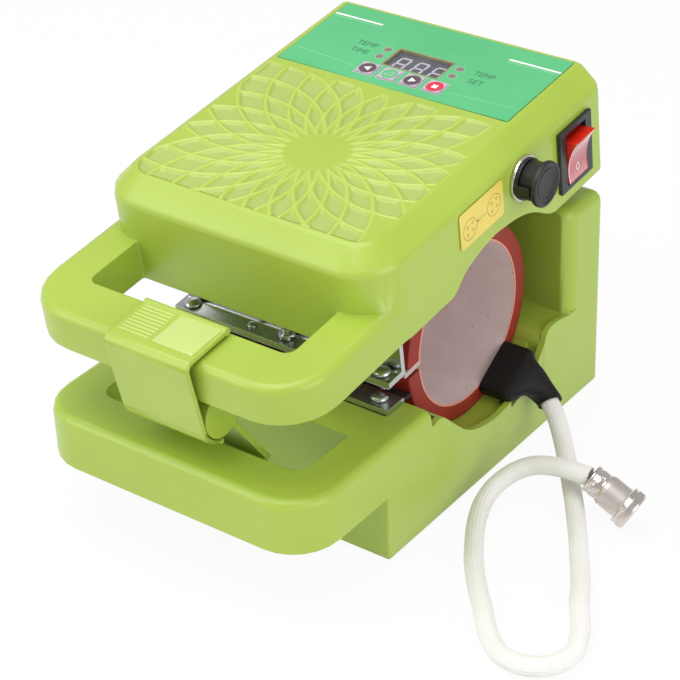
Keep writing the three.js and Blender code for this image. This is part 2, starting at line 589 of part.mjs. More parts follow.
function lidHousing() {
  const loopPlan = { x0: -half, x1: half, y0: lidFront, y1: bodyFront + lid.chamferRun + lid.loopCorner,
    front: lid.loopCorner, rear: clearance };
  const bodyPlan = { x0: -half, x1: half, y0: bodyFront, y1: lidRear, front: lid.bodyCorner,
    rear: lid.rearCorner, rearShare: chamferRearShare };
  const soft = lid.chamferRun / 8;
  const rise = lidTop - crease;
  const shoulder = [[crease - 2 * soft, 0], [crease, soft / 2], [crease + soft, 1.5 * soft],
    [lidTop - rise / 10, lid.chamferRun - soft], [lidTop, lid.chamferRun + soft]];
  const outer = tower(bodyPlan, [[rearUnder, 0], ...shoulder]);
  const loopRings = rounded(lidUnder, loopTop, lid.underFillet, lid.fillet);
  const under = underLid(0, lidFront - overrun, lidRear + overrun);
  const underCut = prismX([[under[0][0], rearUnder - overrun], [under.at(-1)[0], rearUnder - overrun],
    ...under.reverse()], -half - overrun, half + overrun);
  const innerPlan = { x0: -half + lid.skin, x1: half - lid.skin, y0: bodyFront + lid.skin,
    y1: lidRear - lid.skin, front: lid.bodyCorner - lid.skin, rear: lid.rearCorner - lid.skin,
    rearShare: chamferRearShare };
  const room = tower(innerPlan, [[rearUnder + lid.skin, 0], [crease - lid.skin / 2, 0],
    [lidTop - lid.skin, lid.chamferRun]]);
  const mouth = tower({ ...innerPlan, y1: stripFront, rear: clearance },
    [[rearUnder - overrun, 0], [lidUnder + lid.skin, 0]]);
  let body = tower(loopPlan, loopRings).add(outer);
  body = cut(body, tower(upperOpening, [[lidUnder - overrun, 0], [loopTop + overrun, 0]])
    .subtract(outer), underCut, lidChannel(0)(lidUnder - overrun, loopTop - lid.skin), room, mouth);
  for (const side of [-1, 1]) {
    const start = side * hinge.lugStart;
    const ends = [start, start + side * hinge.lugWidth].sort((a, b) => a - b);
    body = body.add(rodX(...ends, hingeLidY, hingeLidZ, hinge.knuckle))
      .add(block(...ends, hingeLidY - hinge.knuckle, hingeLidY + hinge.knuckle, hingeLidZ,
        rearUnder + lid.skin / 2));
  }
  for (const [x, y] of boardBosses()) {
    body = body.add(rodZ(x, y, boardTop + clearance, lidTop - lid.skin / 2, panel.boss, round.small));
  }
  return cut(body, rodX(-half, half, hingeLidY, hingeLidZ, hinge.pin + clearance), ...lidCutouts());
}

function boardBosses() {
  const x = panel.boardHalf - panel.bossInset;
  return [-x, x].flatMap((side) => [[side, boardFront + panel.bossInset],
    [side, boardRear - panel.bossInset]]);
}

const displayWell = { x0: panel.x - panel.displayWide / 2, x1: panel.x + panel.displayWide / 2,
  y0: panelFront + panel.displayAt - panel.displayDeep / 2,
  y1: panelFront + panel.displayAt + panel.displayDeep / 2 };
const keyPlaces = [-1.5, -0.5, 0.5, 1.5]
  .map((step) => [panel.x + step * panel.keyPitch, panelFront + panel.keyAt]);
const lampPlaces = [-1, 1].flatMap((side) => [1, -1].map((row) =>
  [panel.x + side * panel.lampX, panelFront + panel.lampAt + row * panel.lampSpread]));

function panelCutouts(z0, z1) {
  const keyHalf = panel.keySize / 2 + clearance;
  const keys = keyPlaces.map(([x, y]) => block(x - keyHalf, x + keyHalf, y - keyHalf, y + keyHalf, z0, z1));
  const lamps = lampPlaces.map(([x, y]) => rodZ(x, y, z0, z1, panel.lamp + clearance, round.small));
  const well = displayWell;
  return [block(well.x0, well.x1, well.y0, well.y1, z0, z1), ...keys, ...lamps];
}

function lidCutouts() {
  const bodyHalf = rocker.bodyWide / 2 + clearance;
  const bodyRise = rocker.bodyHigh / 2 + clearance;
  const wallStart = half - lid.skin - overrun / 2;
  return [
    tower(panelPlan(0), [[lidTop - panel.sink, 0], [lidTop + overrun, 0]]),
    ...panelCutouts(lidTop - lid.skin - overrun / 2, lidTop + overrun),
    block(wallStart, half + overrun, rockerY - bodyHalf, rockerY + bodyHalf, rockerZ - bodyRise,
      rockerZ + bodyRise),
    rodX(wallStart, half + overrun, socketY, socketZ, socket.barrel + clearance, round.medium),
    rodY(gland.x, lidRear - lid.skin - overrun / 2, lidRear + overrun, glandZ, gland.shank + clearance),
  ];
}

function rodY(x, y0, y1, z, radius, sides = round.medium) {
  return turned([[0, 0], [radius, 0], [radius, y1 - y0], [0, y1 - y0]],
    new THREE.Vector3(x, y0, z), new THREE.Vector3(0, 1, 0), sides);
}

function lidInnerCover() {
  const low = underLid(clearance, bodyFront + lid.skin + clearance, stripFront - clearance).slice(0, -1);
  const lastShare = low.at(-2);
  low[low.length - 1] = [stripFront - clearance, lastShare[1]];
  const high = low.map(([y, z]) => [y, z + lid.cover]).reverse();
  const inner = half - lid.skin - clearance;
  const corner = { x0: -inner, x1: inner, y0: bodyFront + lid.skin + clearance, y1: stripFront - clearance,
    front: lid.bodyCorner - lid.skin, rear: clearance };
  return prismX([...low, ...high], -inner, inner)
    .intersect(tower(corner, [[rearUnder - overrun, 0], [lidTop, 0]]));
}

function lidHandleCover() {
  const low = lidUnder + clearance;
  return lidChannel(clearance)(low, low + lid.cover);
}

function hingePin() {
  const reach = hinge.lugStart + 2 * hinge.lugWidth + 3 * clearance;
  return turned([[0, -reach - hinge.headThick], [hinge.head, -reach - hinge.headThick], [hinge.head, -reach],
    [hinge.pin, -reach], [hinge.pin, reach + hinge.headThick], [0, reach + hinge.headThick]],
    new THREE.Vector3(0, hingeY, hingeZ), new THREE.Vector3(1, 0, 0));
}

// Clamp bracket under the lid: foot flange, upright and the clamping flange

function upperFasteners() {
  return [[-screwAt, clamp.screwShank], [clamp.midScrewAt, clamp.midHead / 2], [clamp.nutAt, clamp.screwShank],
    [screwAt, clamp.screwShank]];
}

function upperClampBracket() {
  const top = lidUnder;
  const low = upperClampTop - clamp.upperThick;
  const { upright, flangeThick, flangeWide } = clamp;
  const seat = upperClampRear - upright;
  const step = [[upperClampFront, low], [upperClampRear, low], [upperClampRear, top], [seat, top],
    [seat, upperClampTop], [upperClampFront, upperClampTop]];
  let body = union(prismX(step, -upperClampHalf, upperClampHalf),
    block(-flangeHalf, flangeHalf, upperClampRear - upright / 2, seat + flangeWide, top - flangeThick, top));
  for (const [x, radius] of upperFasteners()) {
    body = body.subtract(rodZ(x, upperScrewY, low - overrun, upperClampTop + overrun, radius + clearance,
      round.small));
  }
  return body;
}

function centreNut() {
  const z0 = upperClampTop + clearance;
  const across = clamp.nutWidth / Math.sqrt(3);
  const shankEnd = z0 - clamp.screwDepth;
  return union(rodZ(clamp.nutAt, upperScrewY, z0, z0 + clamp.nutHigh, across, round.hex),
    rodZ(clamp.nutAt, upperScrewY, shankEnd, z0 + 1.6 * clamp.nutHigh, clamp.screwShank, round.small));
}

// Latch, about its own axis

function latchStrap() {
  const { strap, bend, bead, beadReach } = latch;
  const top = strapInner + strap;
  const face = latch.inset + strap;
  const faceAngle = Math.PI + latchLean;
  const bendZ = top - bend;
  const bendY = -((face - bend) + Math.sin(latchLean) * bendZ) / Math.cos(latchLean);
  const curl = arc(0, 0, face, faceAngle, curlEnd, round.curl);
  const innerCurl = arc(0, 0, latch.inset, curlEnd, faceAngle, round.curl);
  const outerBend = arc(bendY, bendZ, bend, Math.PI / 2, faceAngle, 7);
  const innerBend = arc(bendY, bendZ, bend - strap, faceAngle, Math.PI / 2, 5);
  const strip = [[beadReach, top], ...outerBend, ...curl, ...innerCurl, ...innerBend, [beadReach, strapInner]];
  return union(
    prismX(strip, -latch.halfWidth, latch.halfWidth),
    rodX(-latch.halfWidth, latch.halfWidth, beadReach, top - strap / 2, bead, round.small));
}

function latchLever() {
  const { eye, eyeHalf, eyeWall, pin, inset, strap } = latch;
  let lever = latchStrap();
  for (const side of [-1, 1]) {
    const near = side * (eyeHalf + clearance);
    const ends = [near, near + side * eyeWall].sort((a, b) => a - b);
    const web = [[0, 0], ...arc(0, 0, inset + strap / 2, Math.PI + 2 * latchLean, curlEnd - latchLean, round.hex)];
    lever = lever.add(rodX(...ends, 0, 0, eye)).add(prismX(web, ...ends));
  }
  return lever.subtract(rodX(-latch.notchHalf, latch.notchHalf, 0, 0, pin + clearance, round.small));
}

function latchHook() {
  const { barrel, barrelHalf, notchHalf, eye, pin, pinHalf, hookReach, hookThick } = latch;
  const along = [Math.cos(hookAngle), Math.sin(hookAngle)];
  const across = [-along[1] * hookThick / 2, along[0] * hookThick / 2];
  const plate = (r0, r1) => [[r0, 1], [r0, -1], [r1, -1], [r1, 1]].map(([r, side]) =>
    [along[0] * r + across[0] * side, along[1] * r + across[1] * side]);
  const lean = hookThick / hookReach / 2;
  let hook = prismX(plate(eye + clearance, hookReach), -barrelHalf, barrelHalf)
    .add(sector(0, 0, hookReach - hookThick, hookReach, hookAngle - toeAngle, hookAngle + lean, -barrelHalf,
      barrelHalf, 6));
  for (const side of [-1, 1]) {
    const ends = [side * (notchHalf + clearance), side * barrelHalf].sort((a, b) => a - b);
    hook = hook.add(rodX(...ends, 0, 0, barrel, round.barrel));
  }
  return hook.subtract(rodX(-pinHalf - clearance, pinHalf + clearance, 0, 0, pin + clearance, round.small));
}

function latchBracket() {
  const { barrel, eye, eyeHalf, pin, flangeHalf, flangeWide } = latch;
  const seat = lidUnder - latchZ - clearance;
  const low = barrel + clearance;
  return union(rodX(-eyeHalf, eyeHalf, 0, 0, eye), block(-eyeHalf, eyeHalf, -eye * 0.8, eye * 0.8, 0, seat),
    block(-flangeHalf, flangeHalf, -flangeWide, flangeWide, low, seat))
    .subtract(rodX(-flangeHalf, flangeHalf, 0, 0, pin + clearance, round.small));
}

// Control panel

function panelPlan(gap) {
  return { x0: panel.x - panel.half + gap, x1: panel.x + panel.half - gap, y0: panelFront + gap,
    y1: panelRear - gap, front: panel.corner, rear: panel.corner, steps: 3 };
}

function controlPanel() {
  const low = lidTop - panel.sink + clearance;
  return cut(tower(panelPlan(clearance), [[low, 0], [low + panel.thick, 0]]),
    ...panelCutouts(low - overrun, low + overrun));
}

const panelTop = lidTop - panel.sink + clearance + panel.thick;

function displayWindow() {
  const { x0, x1, y0, y1 } = displayWell;
  return block(x0 + clearance, x1 - clearance, y0 + clearance, y1 - clearance, boardTop + clearance,
    panelTop - panel.displaySunk);
}

function key(x, y) {
  const top = panelTop + panel.keyProud;
  const reach = panel.keySize / 2;
  return block(x - reach, x + reach, y - reach, y + reach, top - panel.keyThick, top)
    .add(rodZ(x, y, boardTop + panel.travel + clearance, top - panel.keyThick / 2, panel.stem, round.small));
}

function lamp(x, y) {
  return rodZ(x, y, boardTop + clearance, panelTop + panel.lampProud, panel.lamp, round.small);
}

function controlBoard() {
  return block(-panel.boardHalf, panel.boardHalf, boardFront, boardRear,
    boardTop - panel.boardThick, boardTop);
}

function powerRelay() {
  const top = boardTop - panel.boardThick - clearance;
  const y = (boardFront + boardRear) / 2;
  return block(panel.relayX - panel.relayWide / 2, panel.relayX + panel.relayWide / 2, y - panel.relayDeep / 2,
    y + panel.relayDeep / 2, top - panel.relayHigh, top);
}

// Rocker switch

const rockerPivot = half - rocker.pivotIn;

function rockerFrame() {
  const { frameWide, frameHigh, bodyWide, bodyHigh, bodyDeep, shell, keyWide, peg, pegLength } = rocker;
  const [y, z] = [rockerY, rockerZ];
  const face = half + clearance;
  const flange = block(face, face + rocker.frameProud, y - frameWide / 2, y + frameWide / 2, z - frameHigh / 2,
    z + frameHigh / 2);
  const body = block(half - bodyDeep, face + rocker.frameProud / 2, y - bodyWide / 2, y + bodyWide / 2,
    z - bodyHigh / 2, z + bodyHigh / 2);
  const room = block(half - bodyDeep + shell, half + overrun, y - keyWide / 2 - clearance,
    y + keyWide / 2 + clearance, z - bodyHigh / 2 + shell, z + bodyHigh / 2 - shell);
  const pegs = keyWide / 2 + pegLength + 2 * clearance;
  return cut(flange.add(body), room, rodY(rockerPivot, y - pegs, y + pegs, z, peg + clearance, round.small));
}

function rockerKey() {
  const { keyReach, keyProud, keyDip, keyBack, keyBackHalf, keyWide, peg, pegLength } = rocker;
  const rise = Math.sqrt(keyReach ** 2 - keyProud ** 2);
  const side = [[keyProud, rise], [-keyBack, keyBackHalf], [-keyBack, -keyBackHalf], [keyProud, -rise],
    [keyProud - keyDip, 0]];
  const turnedSide = side.map(([out, up]) => [
    rockerPivot + out * Math.cos(rockerTilt) + up * Math.sin(rockerTilt),
    rockerZ - out * Math.sin(rockerTilt) + up * Math.cos(rockerTilt)]);
  const pegs = keyWide / 2 + pegLength;
  return prismY(turnedSide, rockerY - keyWide / 2, rockerY + keyWide / 2)
    .add(rodY(rockerPivot, rockerY - pegs, rockerY + pegs, rockerZ, peg, round.small));
}

// A profile of [x, z] points carried along Y.
function prismY(points, y0, y1) {
  const shape = new THREE.Shape(points.map(([x, z]) => new THREE.Vector2(x, z)));
  const geometry = new THREE.ExtrudeGeometry(shape, { depth: y1 - y0, bevelEnabled: false });
  geometry.applyMatrix4(new THREE.Matrix4().makeRotationX(Math.PI / 2));
  geometry.translate(0, y1, 0);
  return solidOf(geometry);
}

// Panel socket, its nut, and the rubber dust cap on its strap

const along = new THREE.Vector3(1, 0, 0);

function panelSocket() {
  const { barrel, barrelOut, barrelIn, flange, flangeThick, bore, boreDepth } = socket;
  return turned([[0, -barrelIn], [barrel, -barrelIn], [barrel, clearance], [flange, clearance],
    [flange, clearance + flangeThick], [barrel, clearance + flangeThick], [barrel, barrelOut], [bore, barrelOut],
    [bore, barrelOut - boreDepth], [0, barrelOut - boreDepth]], new THREE.Vector3(half, socketY, socketZ), along);
}

function socketNut() {
  const start = half - lid.skin - clearance - socket.nutThick;
  return rodX(start, start + socket.nutThick, socketY, socketZ, socket.nut, round.hex)
    .subtract(rodX(start - overrun, half, socketY, socketZ, socket.barrel + clearance));
}

const strapStart = half + 2 * clearance + socket.flangeThick;
const capStart = strapStart + cap.ringThick + clearance;

function dustCap() {
  const { tube, tubeLength, disc, discLength } = cap;
  const pocket = half + socket.barrelOut + clearance - capStart;
  const bore = socket.barrel + clearance;
  return turned([[bore, 0], [tube, 0], [tube, tubeLength], [disc, tubeLength], [disc, tubeLength + discLength],
    [0, tubeLength + discLength], [0, pocket], [bore, pocket], [bore, 0]],
    new THREE.Vector3(capStart, socketY, socketZ), along);
}

function dustCapStrap() {
  const bore = socket.barrel + clearance;
  const ring = rodX(strapStart, strapStart + cap.ringThick, socketY, socketZ, cap.ring)
    .subtract(rodX(strapStart - overrun, strapStart + overrun, socketY, socketZ, bore));
  const bandEnd = capStart + cap.tubeLength - clearance;
  const inner = socketY - cap.tube - clearance;
  return ring.add(block(strapStart, bandEnd, inner - cap.bandThick, inner, socketZ - cap.bandWide / 2,
    socketZ + cap.bandWide / 2));
}

function sideLabel() {
  const front = lidRear - label.fromRear;
  const low = lidUnder + label.rise;
  return block(half + clearance, half + clearance + label.thick, front, front + label.long, low, low + label.high);
}

// Blanked mains gland in the rear wall

function mainsGland() {
  const { nut, nutThick, dome, domeLength, shank, shankLength } = gland;
  const total = nutThick + domeLength;
  return turned([[0, -shankLength], [shank, -shankLength], [shank, clearance], [nut, clearance], [nut, nutThick],
    [dome, nutThick], [dome, nutThick + domeLength / 2], [dome * 0.7, total], [0, total]],
    new THREE.Vector3(gland.x, lidRear, glandZ), new THREE.Vector3(0, 1, 0));
}

function mainsGlandNut() {
  const end = lidRear - lid.skin - clearance;
  return rodY(gland.x, end - gland.lockThick, end, glandZ, gland.nut, round.hex)
    .subtract(rodY(gland.x, end - overrun, end + overrun, glandZ, gland.shank + clearance));
}

// Boot, cable and connector

function cableBoot() {
  const wide = new THREE.Vector3(0, -Math.sin(bootLean), Math.cos(bootLean));
  const mouthDirection = cablePath[1].clone().sub(cablePath[0]).normalize();
  const mouth = cablePath[0].clone().addScaledVector(mouthDirection, -clearance);
  const start = wrap.halfLength + clearance;
  const centres = bootShares.map(([out, back, up]) => new THREE.Vector3(start + out * (mouth.x - start),
    wrapY + back * wrap.outer, wrapZ + up * wrap.outer));
  centres[centres.length - 1] = mouth;
  const rings = bootShares.map(([, , , wideShare, thickShare, square], i) => {
    const halfWide = wideShare * boot.halfWide;
    const halfThick = thickShare * boot.halfWide;
    const before = centres[Math.max(i - 1, 0)];
    const after = centres[Math.min(i + 1, centres.length - 1)];
    const tangent = i < 2 ? along.clone() : after.clone().sub(before).normalize();
    if (i === centres.length - 1) {
      tangent.copy(mouthDirection);
    }
    const u = wide.clone().addScaledVector(tangent, -wide.dot(tangent)).normalize();
    const v = tangent.clone().cross(u);
    return Array.from({ length: round.medium }, (_, step) => {
      const angle = 2 * Math.PI * step / round.medium;
      const power = (value) => Math.sign(value) * Math.abs(value) ** (2 / square);
      return centres[i].clone().addScaledVector(u, halfWide * power(Math.cos(angle)))
        .addScaledVector(v, halfThick * power(Math.sin(angle)));
    });
  });
  return loft(rings);
}

function heaterCable() {
  const section = new THREE.Shape(Array.from({ length: 10 }, (_, i) => new THREE.Vector2(
    cableDiameter / 2 * Math.cos(Math.PI * i / 5), cableDiameter / 2 * Math.sin(Math.PI * i / 5))));
  const curve = new THREE.CatmullRomCurve3(cablePath, false, 'centripetal');
  const steps = 40;
  const geometry = new THREE.ExtrudeGeometry(section, { steps, extrudePath: curve, bevelEnabled: false });
  return solidOf(geometry);
}

const plugStart = cablePath.at(-1);
const plugAxis = plugEnd.clone().sub(plugStart).normalize();

function plugPiece(profile, sides = round.medium) {
  return turned(profile, plugStart, plugAxis, sides);
}

const plugNutEnd = clearance + plug.nutLength;
const plugBodyEnd = plugNutEnd + clearance + plug.bodyLength;
const plugShellStart = plugBodyEnd - plug.ringLength * 0.3;

function plugClampNut() {
  const floor = clearance + plug.mouthDeep;
  return plugPiece([[0, floor], [plug.mouth, floor], [plug.mouth, clearance],
    [plug.nut * 0.88, clearance], [plug.nut, clearance + plug.shell], [plug.nut, plugNutEnd],
    [0, plugNutEnd]]);
}

function plugBody() {
  const start = plugNutEnd + clearance;
  const neck = plug.ring - plug.shell - clearance;
  return plugPiece([[0, start], [plug.nut, start],
    [plug.body, start + plug.shell], [plug.body, plugShellStart - clearance],
    [Math.min(plug.body, neck), plugShellStart - clearance], [Math.min(plug.body, neck), plugBodyEnd],
    [0, plugBodyEnd]]);
}

function plugRing() {
  const end = plugShellStart + plug.ringLength;
  const bore = Math.min(plug.body, plug.ring - plug.shell - clearance) + clearance;
  return plugPiece([[bore, plugShellStart], [plug.ring, plugShellStart], [plug.ring, end], [bore, end],
    [bore, plugShellStart]]);
}

function plugInsert() {
  const start = plugBodyEnd + clearance;
  const end = plugShellStart + plug.ringLength - plug.insertSink;
  return plugPiece([[0, start], [plug.nut, start], [plug.nut, end], [0, end]]);
}

// Assembly

const basePlaces = bossPlaces(base.handle + wall, length - wall);
const footPlaces = [-1, 1].flatMap((side) => [base.handle, length].map((y, row) =>
  [side * (half - cover.footInset), y + (row ? -1 : 1) * (cover.footInset + cover.foot)]));

add('base_housing', baseHousing(), lime);
add('base_bottom_cover', baseBottomCover(), lime);
add('base_handle_cover', baseHandleCover(), lime);
footPlaces.forEach(([x, y], i) => add(`foot_${i + 1}`, rodZ(x, y, 0, base.bottom, cover.foot), blackRubber));
basePlaces.forEach(([x, y], i) => add(`base_screw_${i + 1}`, coverScrew(x, y, base.bottom + clearance), steel));
add('lower_clamp_bar', lowerClampBar(), steel);
const lowerScrewZ = base.deck + clamp.thick + 2 * clearance;
[-1, 1].forEach((side, i) => add(`lower_clamp_screw_${i + 1}`, domeScrew(side * screwAt, lowerScrewY,
  lowerScrewZ, clamp.screwHead, clamp.screwDome, clamp.screwShank, clamp.screwDepth), steel));
add('wrap_lower', wrapLower(), redSilicone);
add('wrap_lower_liner', wrapLowerLiner(), linerCloth);
add('hinge_pin', hingePin(), steel);
add('cable_boot', cableBoot(), blackRubber);
add('heater_cable', heaterCable(), finish(0xe6e6e0, 0.8));
add('plug_clamp_nut', plugClampNut(), nickel);
add('plug_body', plugBody(), nickel);
add('plug_coupling_ring', plugRing(), nickel);
add('plug_pin_insert', plugInsert(), blackPlastic);

add('lid_housing', lidHousing(), lime, upperFrame);
add('lid_inner_cover', lidInnerCover(), lime, upperFrame);
add('lid_handle_cover', lidHandleCover(), lime, upperFrame);
add('upper_clamp_bracket', upperClampBracket(), steel, upperFrame);
const upperScrewZ = upperClampTop + clearance;
[-1, 1].forEach((side, i) => add(`upper_clamp_screw_${i + 1}`, domeScrew(side * screwAt, upperScrewY,
  upperScrewZ, clamp.screwHead, clamp.screwDome, clamp.screwShank, clamp.screwDepth), steel, upperFrame));
add('upper_clamp_mid_screw', domeScrew(clamp.midScrewAt, upperScrewY, upperScrewZ, clamp.midHead,
  clamp.screwDome / 2, clamp.midHead / 2, clamp.screwDepth), steel, upperFrame);
add('upper_clamp_nut', centreNut(), steel, upperFrame);
add('wrap_upper', wrapUpper(), redSilicone, upperFrame);
add('wrap_upper_liner', wrapUpperLiner(), linerCloth, upperFrame);
add('upper_press_plate', upperPressPlate(), steel, upperFrame);
add('control_panel', controlPanel(), finish(0x62d68f, 0.35), upperFrame);
add('display_window', displayWindow(), finish(0x41464f, 0.3), upperFrame);
keyPlaces.forEach(([x, y], i) => add(`key_${i + 1}`, key(x, y), finish([0x4a4247, 0x62d68f, 0x4a4247, 0xc4304c][i],
  0.4), upperFrame));
lampPlaces.forEach(([x, y], i) => add(`lamp_${i + 1}`, lamp(x, y), finish(0x5f6f4c, 0.3), upperFrame));
add('control_board', controlBoard(), finish(0x2f6b3a, 0.6), upperFrame);
add('power_relay', powerRelay(), blackPlastic, upperFrame);
add('rocker_frame', rockerFrame(), blackPlastic, upperFrame);
add('rocker_key', rockerKey(), finish(0xd22a1e, 0.25), upperFrame);
add('panel_socket', panelSocket(), nickel, upperFrame);
add('socket_nut', socketNut(), nickel, upperFrame);
add('dust_cap', dustCap(), blackRubber, upperFrame);
add('dust_cap_strap', dustCapStrap(), blackRubber, upperFrame);
add('side_label', sideLabel(), finish(0xe8c94a, 0.5), upperFrame);
add('mains_gland', mainsGland(), blackPlastic, upperFrame);
add('mains_gland_nut', mainsGlandNut(), blackPlastic, upperFrame);

add('latch_lever', latchLever(), lime, latchFrame);
add('latch_hook', latchHook(), lime, latchFrame);
add('latch_bracket', latchBracket(), steel, latchFrame);
add('latch_pin', rodX(-latch.pinHalf, latch.pinHalf, 0, 0, latch.pin, round.small), steel, latchFrame);

// The origin goes under the middle of everything but the cable and its connector.
const loose = ['heater_cable', 'plug_clamp_nut', 'plug_body', 'plug_coupling_ring', 'plug_pin_insert'];
press.updateMatrixWorld(true);
const bounds = new THREE.Box3();
press.traverse((item) => {
  if (item.isMesh && !loose.includes(item.name)) {
    bounds.expandByObject(item, true);
  }
});
press.position.set(-(bounds.min.x + bounds.max.x) / 2, -(bounds.min.y + bounds.max.y) / 2, -bounds.min.z);

export default press;
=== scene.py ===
import json
import math
import bpy
import bmesh
import numpy as np
from mathutils import Matrix, Vector

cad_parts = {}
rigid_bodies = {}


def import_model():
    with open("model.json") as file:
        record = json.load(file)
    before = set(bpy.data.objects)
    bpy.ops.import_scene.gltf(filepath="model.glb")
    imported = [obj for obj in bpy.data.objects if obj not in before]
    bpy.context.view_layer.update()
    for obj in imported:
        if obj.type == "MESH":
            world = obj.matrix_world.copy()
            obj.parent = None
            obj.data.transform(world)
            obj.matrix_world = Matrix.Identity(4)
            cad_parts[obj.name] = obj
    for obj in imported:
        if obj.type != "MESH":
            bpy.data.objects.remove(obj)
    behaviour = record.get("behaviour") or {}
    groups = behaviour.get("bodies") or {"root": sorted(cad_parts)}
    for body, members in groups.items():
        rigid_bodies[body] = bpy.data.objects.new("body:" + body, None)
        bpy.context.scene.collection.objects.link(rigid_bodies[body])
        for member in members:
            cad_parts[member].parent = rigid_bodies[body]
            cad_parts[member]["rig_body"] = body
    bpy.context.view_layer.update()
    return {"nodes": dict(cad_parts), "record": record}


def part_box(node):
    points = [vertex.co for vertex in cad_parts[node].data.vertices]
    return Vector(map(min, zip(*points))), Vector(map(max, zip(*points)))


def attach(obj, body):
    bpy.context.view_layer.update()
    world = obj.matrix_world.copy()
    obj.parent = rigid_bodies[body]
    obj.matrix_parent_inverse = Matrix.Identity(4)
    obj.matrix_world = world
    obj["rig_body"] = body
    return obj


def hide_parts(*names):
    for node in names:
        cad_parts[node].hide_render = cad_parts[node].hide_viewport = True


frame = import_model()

nodes = frame["nodes"]

# Lengths here are millimetres. A body point counts x from the middle of the press, y from the front of the
# lower handle and z from the ground; a lid point is the same with the upper housing laid level.
lowCorner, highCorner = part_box("base_housing")
shift = np.array([(lowCorner.x + highCorner.x) * 500, lowCorner.y * 1000, 0.0])
wrapAxis = {"y": 145.0, "z": 72.5, "inner": 38.5, "liner": 0.8, "outer": 47.4, "half": 59.5}
lid = {"tilt": 6.21, "pivotY": 236.0, "pivotZ": 119.0}
tiltCos, tiltSin = math.cos(math.radians(lid["tilt"])), math.sin(math.radians(lid["tilt"]))


def bodyPlace(points):
    # metres in the shared frame: the point plus the shift, over a thousand
    return (np.asarray(points, float) + shift) / 1000


def lidPlace(points):
    # turned by the tilt about the pivot line, y' = y cos - z sin and z' = y sin + z cos, then placed
    points = np.asarray(points, float)
    y, z = points[..., 1] - lid["pivotY"], points[..., 2] - lid["pivotZ"]
    turned = np.stack([points[..., 0], lid["pivotY"] + y * tiltCos - z * tiltSin,
                       lid["pivotZ"] + y * tiltSin + z * tiltCos], -1)
    return bodyPlace(turned)


def lidPoint(y, z):
    # a body point seen in the level lid's frame, the turn above backwards
    dy, dz = y - lid["pivotY"], z - lid["pivotZ"]
    return lid["pivotY"] + dy * tiltCos + dz * tiltSin, lid["pivotZ"] - dy * tiltSin + dz * tiltCos


def gridFaces(rows, columns, closeRows=False, closeColumns=False):
    # face (i, j) joins the points i, i + 1 and j, j + 1 of a grid stored row by row
    i, j = np.meshgrid(
        np.arange(rows - (not closeRows)), np.arange(columns - (not closeColumns)), indexing="ij")
    i, j = i.ravel(), j.ravel()
    nextI, nextJ = (i + 1) % rows, (j + 1) % columns
    corners = (i * columns + j, i * columns + nextJ, nextI * columns + nextJ, nextI * columns + j)
    return np.stack(corners, -1).tolist()


def joined(*shells):
    # several (points, faces) as one, each face list moved on by the points before it
    points, faces, count = [], [], 0
    for shellPoints, shellFaces in shells:
        points.append(np.asarray(shellPoints, float).reshape(-1, 3))
        faces += [[index + count for index in face] for face in shellFaces]
        count += len(points[-1])
    return np.concatenate(points), faces


def closedLoft(rings):
    # rings of equally many points joined in order, with a many-sided face over each end
    rings = np.asarray(rings, float)
    rows, columns = rings.shape[:2]
    faces = gridFaces(rows, columns, closeColumns=True)
    faces += [range(columns)[::-1], range((rows - 1) * columns, rows * columns)]
    return rings.reshape(-1, 3), faces


def unit(vectors):
    # each vector over its own length
    return vectors / np.linalg.norm(vectors, axis=-1, keepdims=True)


def roundAngles(count):
    # one full turn in that many equal steps
    return 2 * math.pi * np.arange(count) / count


def closedTurn(profile, centre, axis, sides, hollow=False, ribs=0):
    # point (i, j) = centre + height_i * axis + radius_i * (cos a_j * u + sin a_j * v); a third number in the
    # profile is how far the ribs wave the radius there
    axis = unit(np.asarray(axis, float))
    side = unit(np.cross(axis, [0.0, 0.0, 1.0] if abs(axis[2]) < 0.9 else [1.0, 0.0, 0.0]))
    angle = roundAngles(sides)
    around = np.cos(angle)[:, None] * side + np.sin(angle)[:, None] * np.cross(axis, side)
    profile = np.array([(*row, 0.0)[:3] for row in profile])
    radius = profile[:, :1] + profile[:, 2:] * np.cos(ribs * angle)
    grid = np.asarray(centre, float) + profile[:, None, 1:2] * axis + radius[..., None] * around[None]
    if hollow:
        return grid.reshape(-1, 3), gridFaces(len(profile), sides, True, True)
    return closedLoft(grid)


def atHeight(outline, height):
    # flat points (x, y) with one height as their z
    return np.column_stack([outline, np.full(len(outline), height)])


def prism(outline, low, high):
    # one outline of flat points at two heights, joined and closed
    return closedLoft([atHeight(outline, low), atHeight(outline, high)])


def band(outer, inner, low, high):
    # a closed frame between two outlines of equally many points
    rings = [atHeight(outer, low), atHeight(outer, high), atHeight(inner, high), atHeight(inner, low)]
    return np.concatenate(rings), gridFaces(4, len(outer), True, True)


def rect(x0, x1, y0, y1):
    # the four corners in turn
    return np.array([(x0, y0), (x1, y0), (x1, y1), (x0, y1)], float)


def roundRect(x0, x1, y0, y1, corner, steps=5):
    # quarter circles about the four corner centres, one after the other
    turn = np.linspace(0, math.pi / 2, steps)
    right, left, top, bottom = x1 - corner, x0 + corner, y1 - corner, y0 + corner
    middles = ((right, top), (left, top), (left, bottom), (right, bottom))
    quarters = [turn + k * math.pi / 2 for k in range(4)]
    return np.concatenate([np.column_stack([x + corner * np.cos(a), y + corner * np.sin(a)])
                           for (x, y), a in zip(middles, quarters)])


def roundSquare(x, y, reach, corner):
    return roundRect(x - reach, x + reach, y - reach, y + reach, corner)


def ellipse(x, y, reachX, reachY, sides=40):
    # x + a cos t, y + b sin t
    angle = roundAngles(sides)
    return np.column_stack([x + reachX * np.cos(angle), y + reachY * np.sin(angle)])


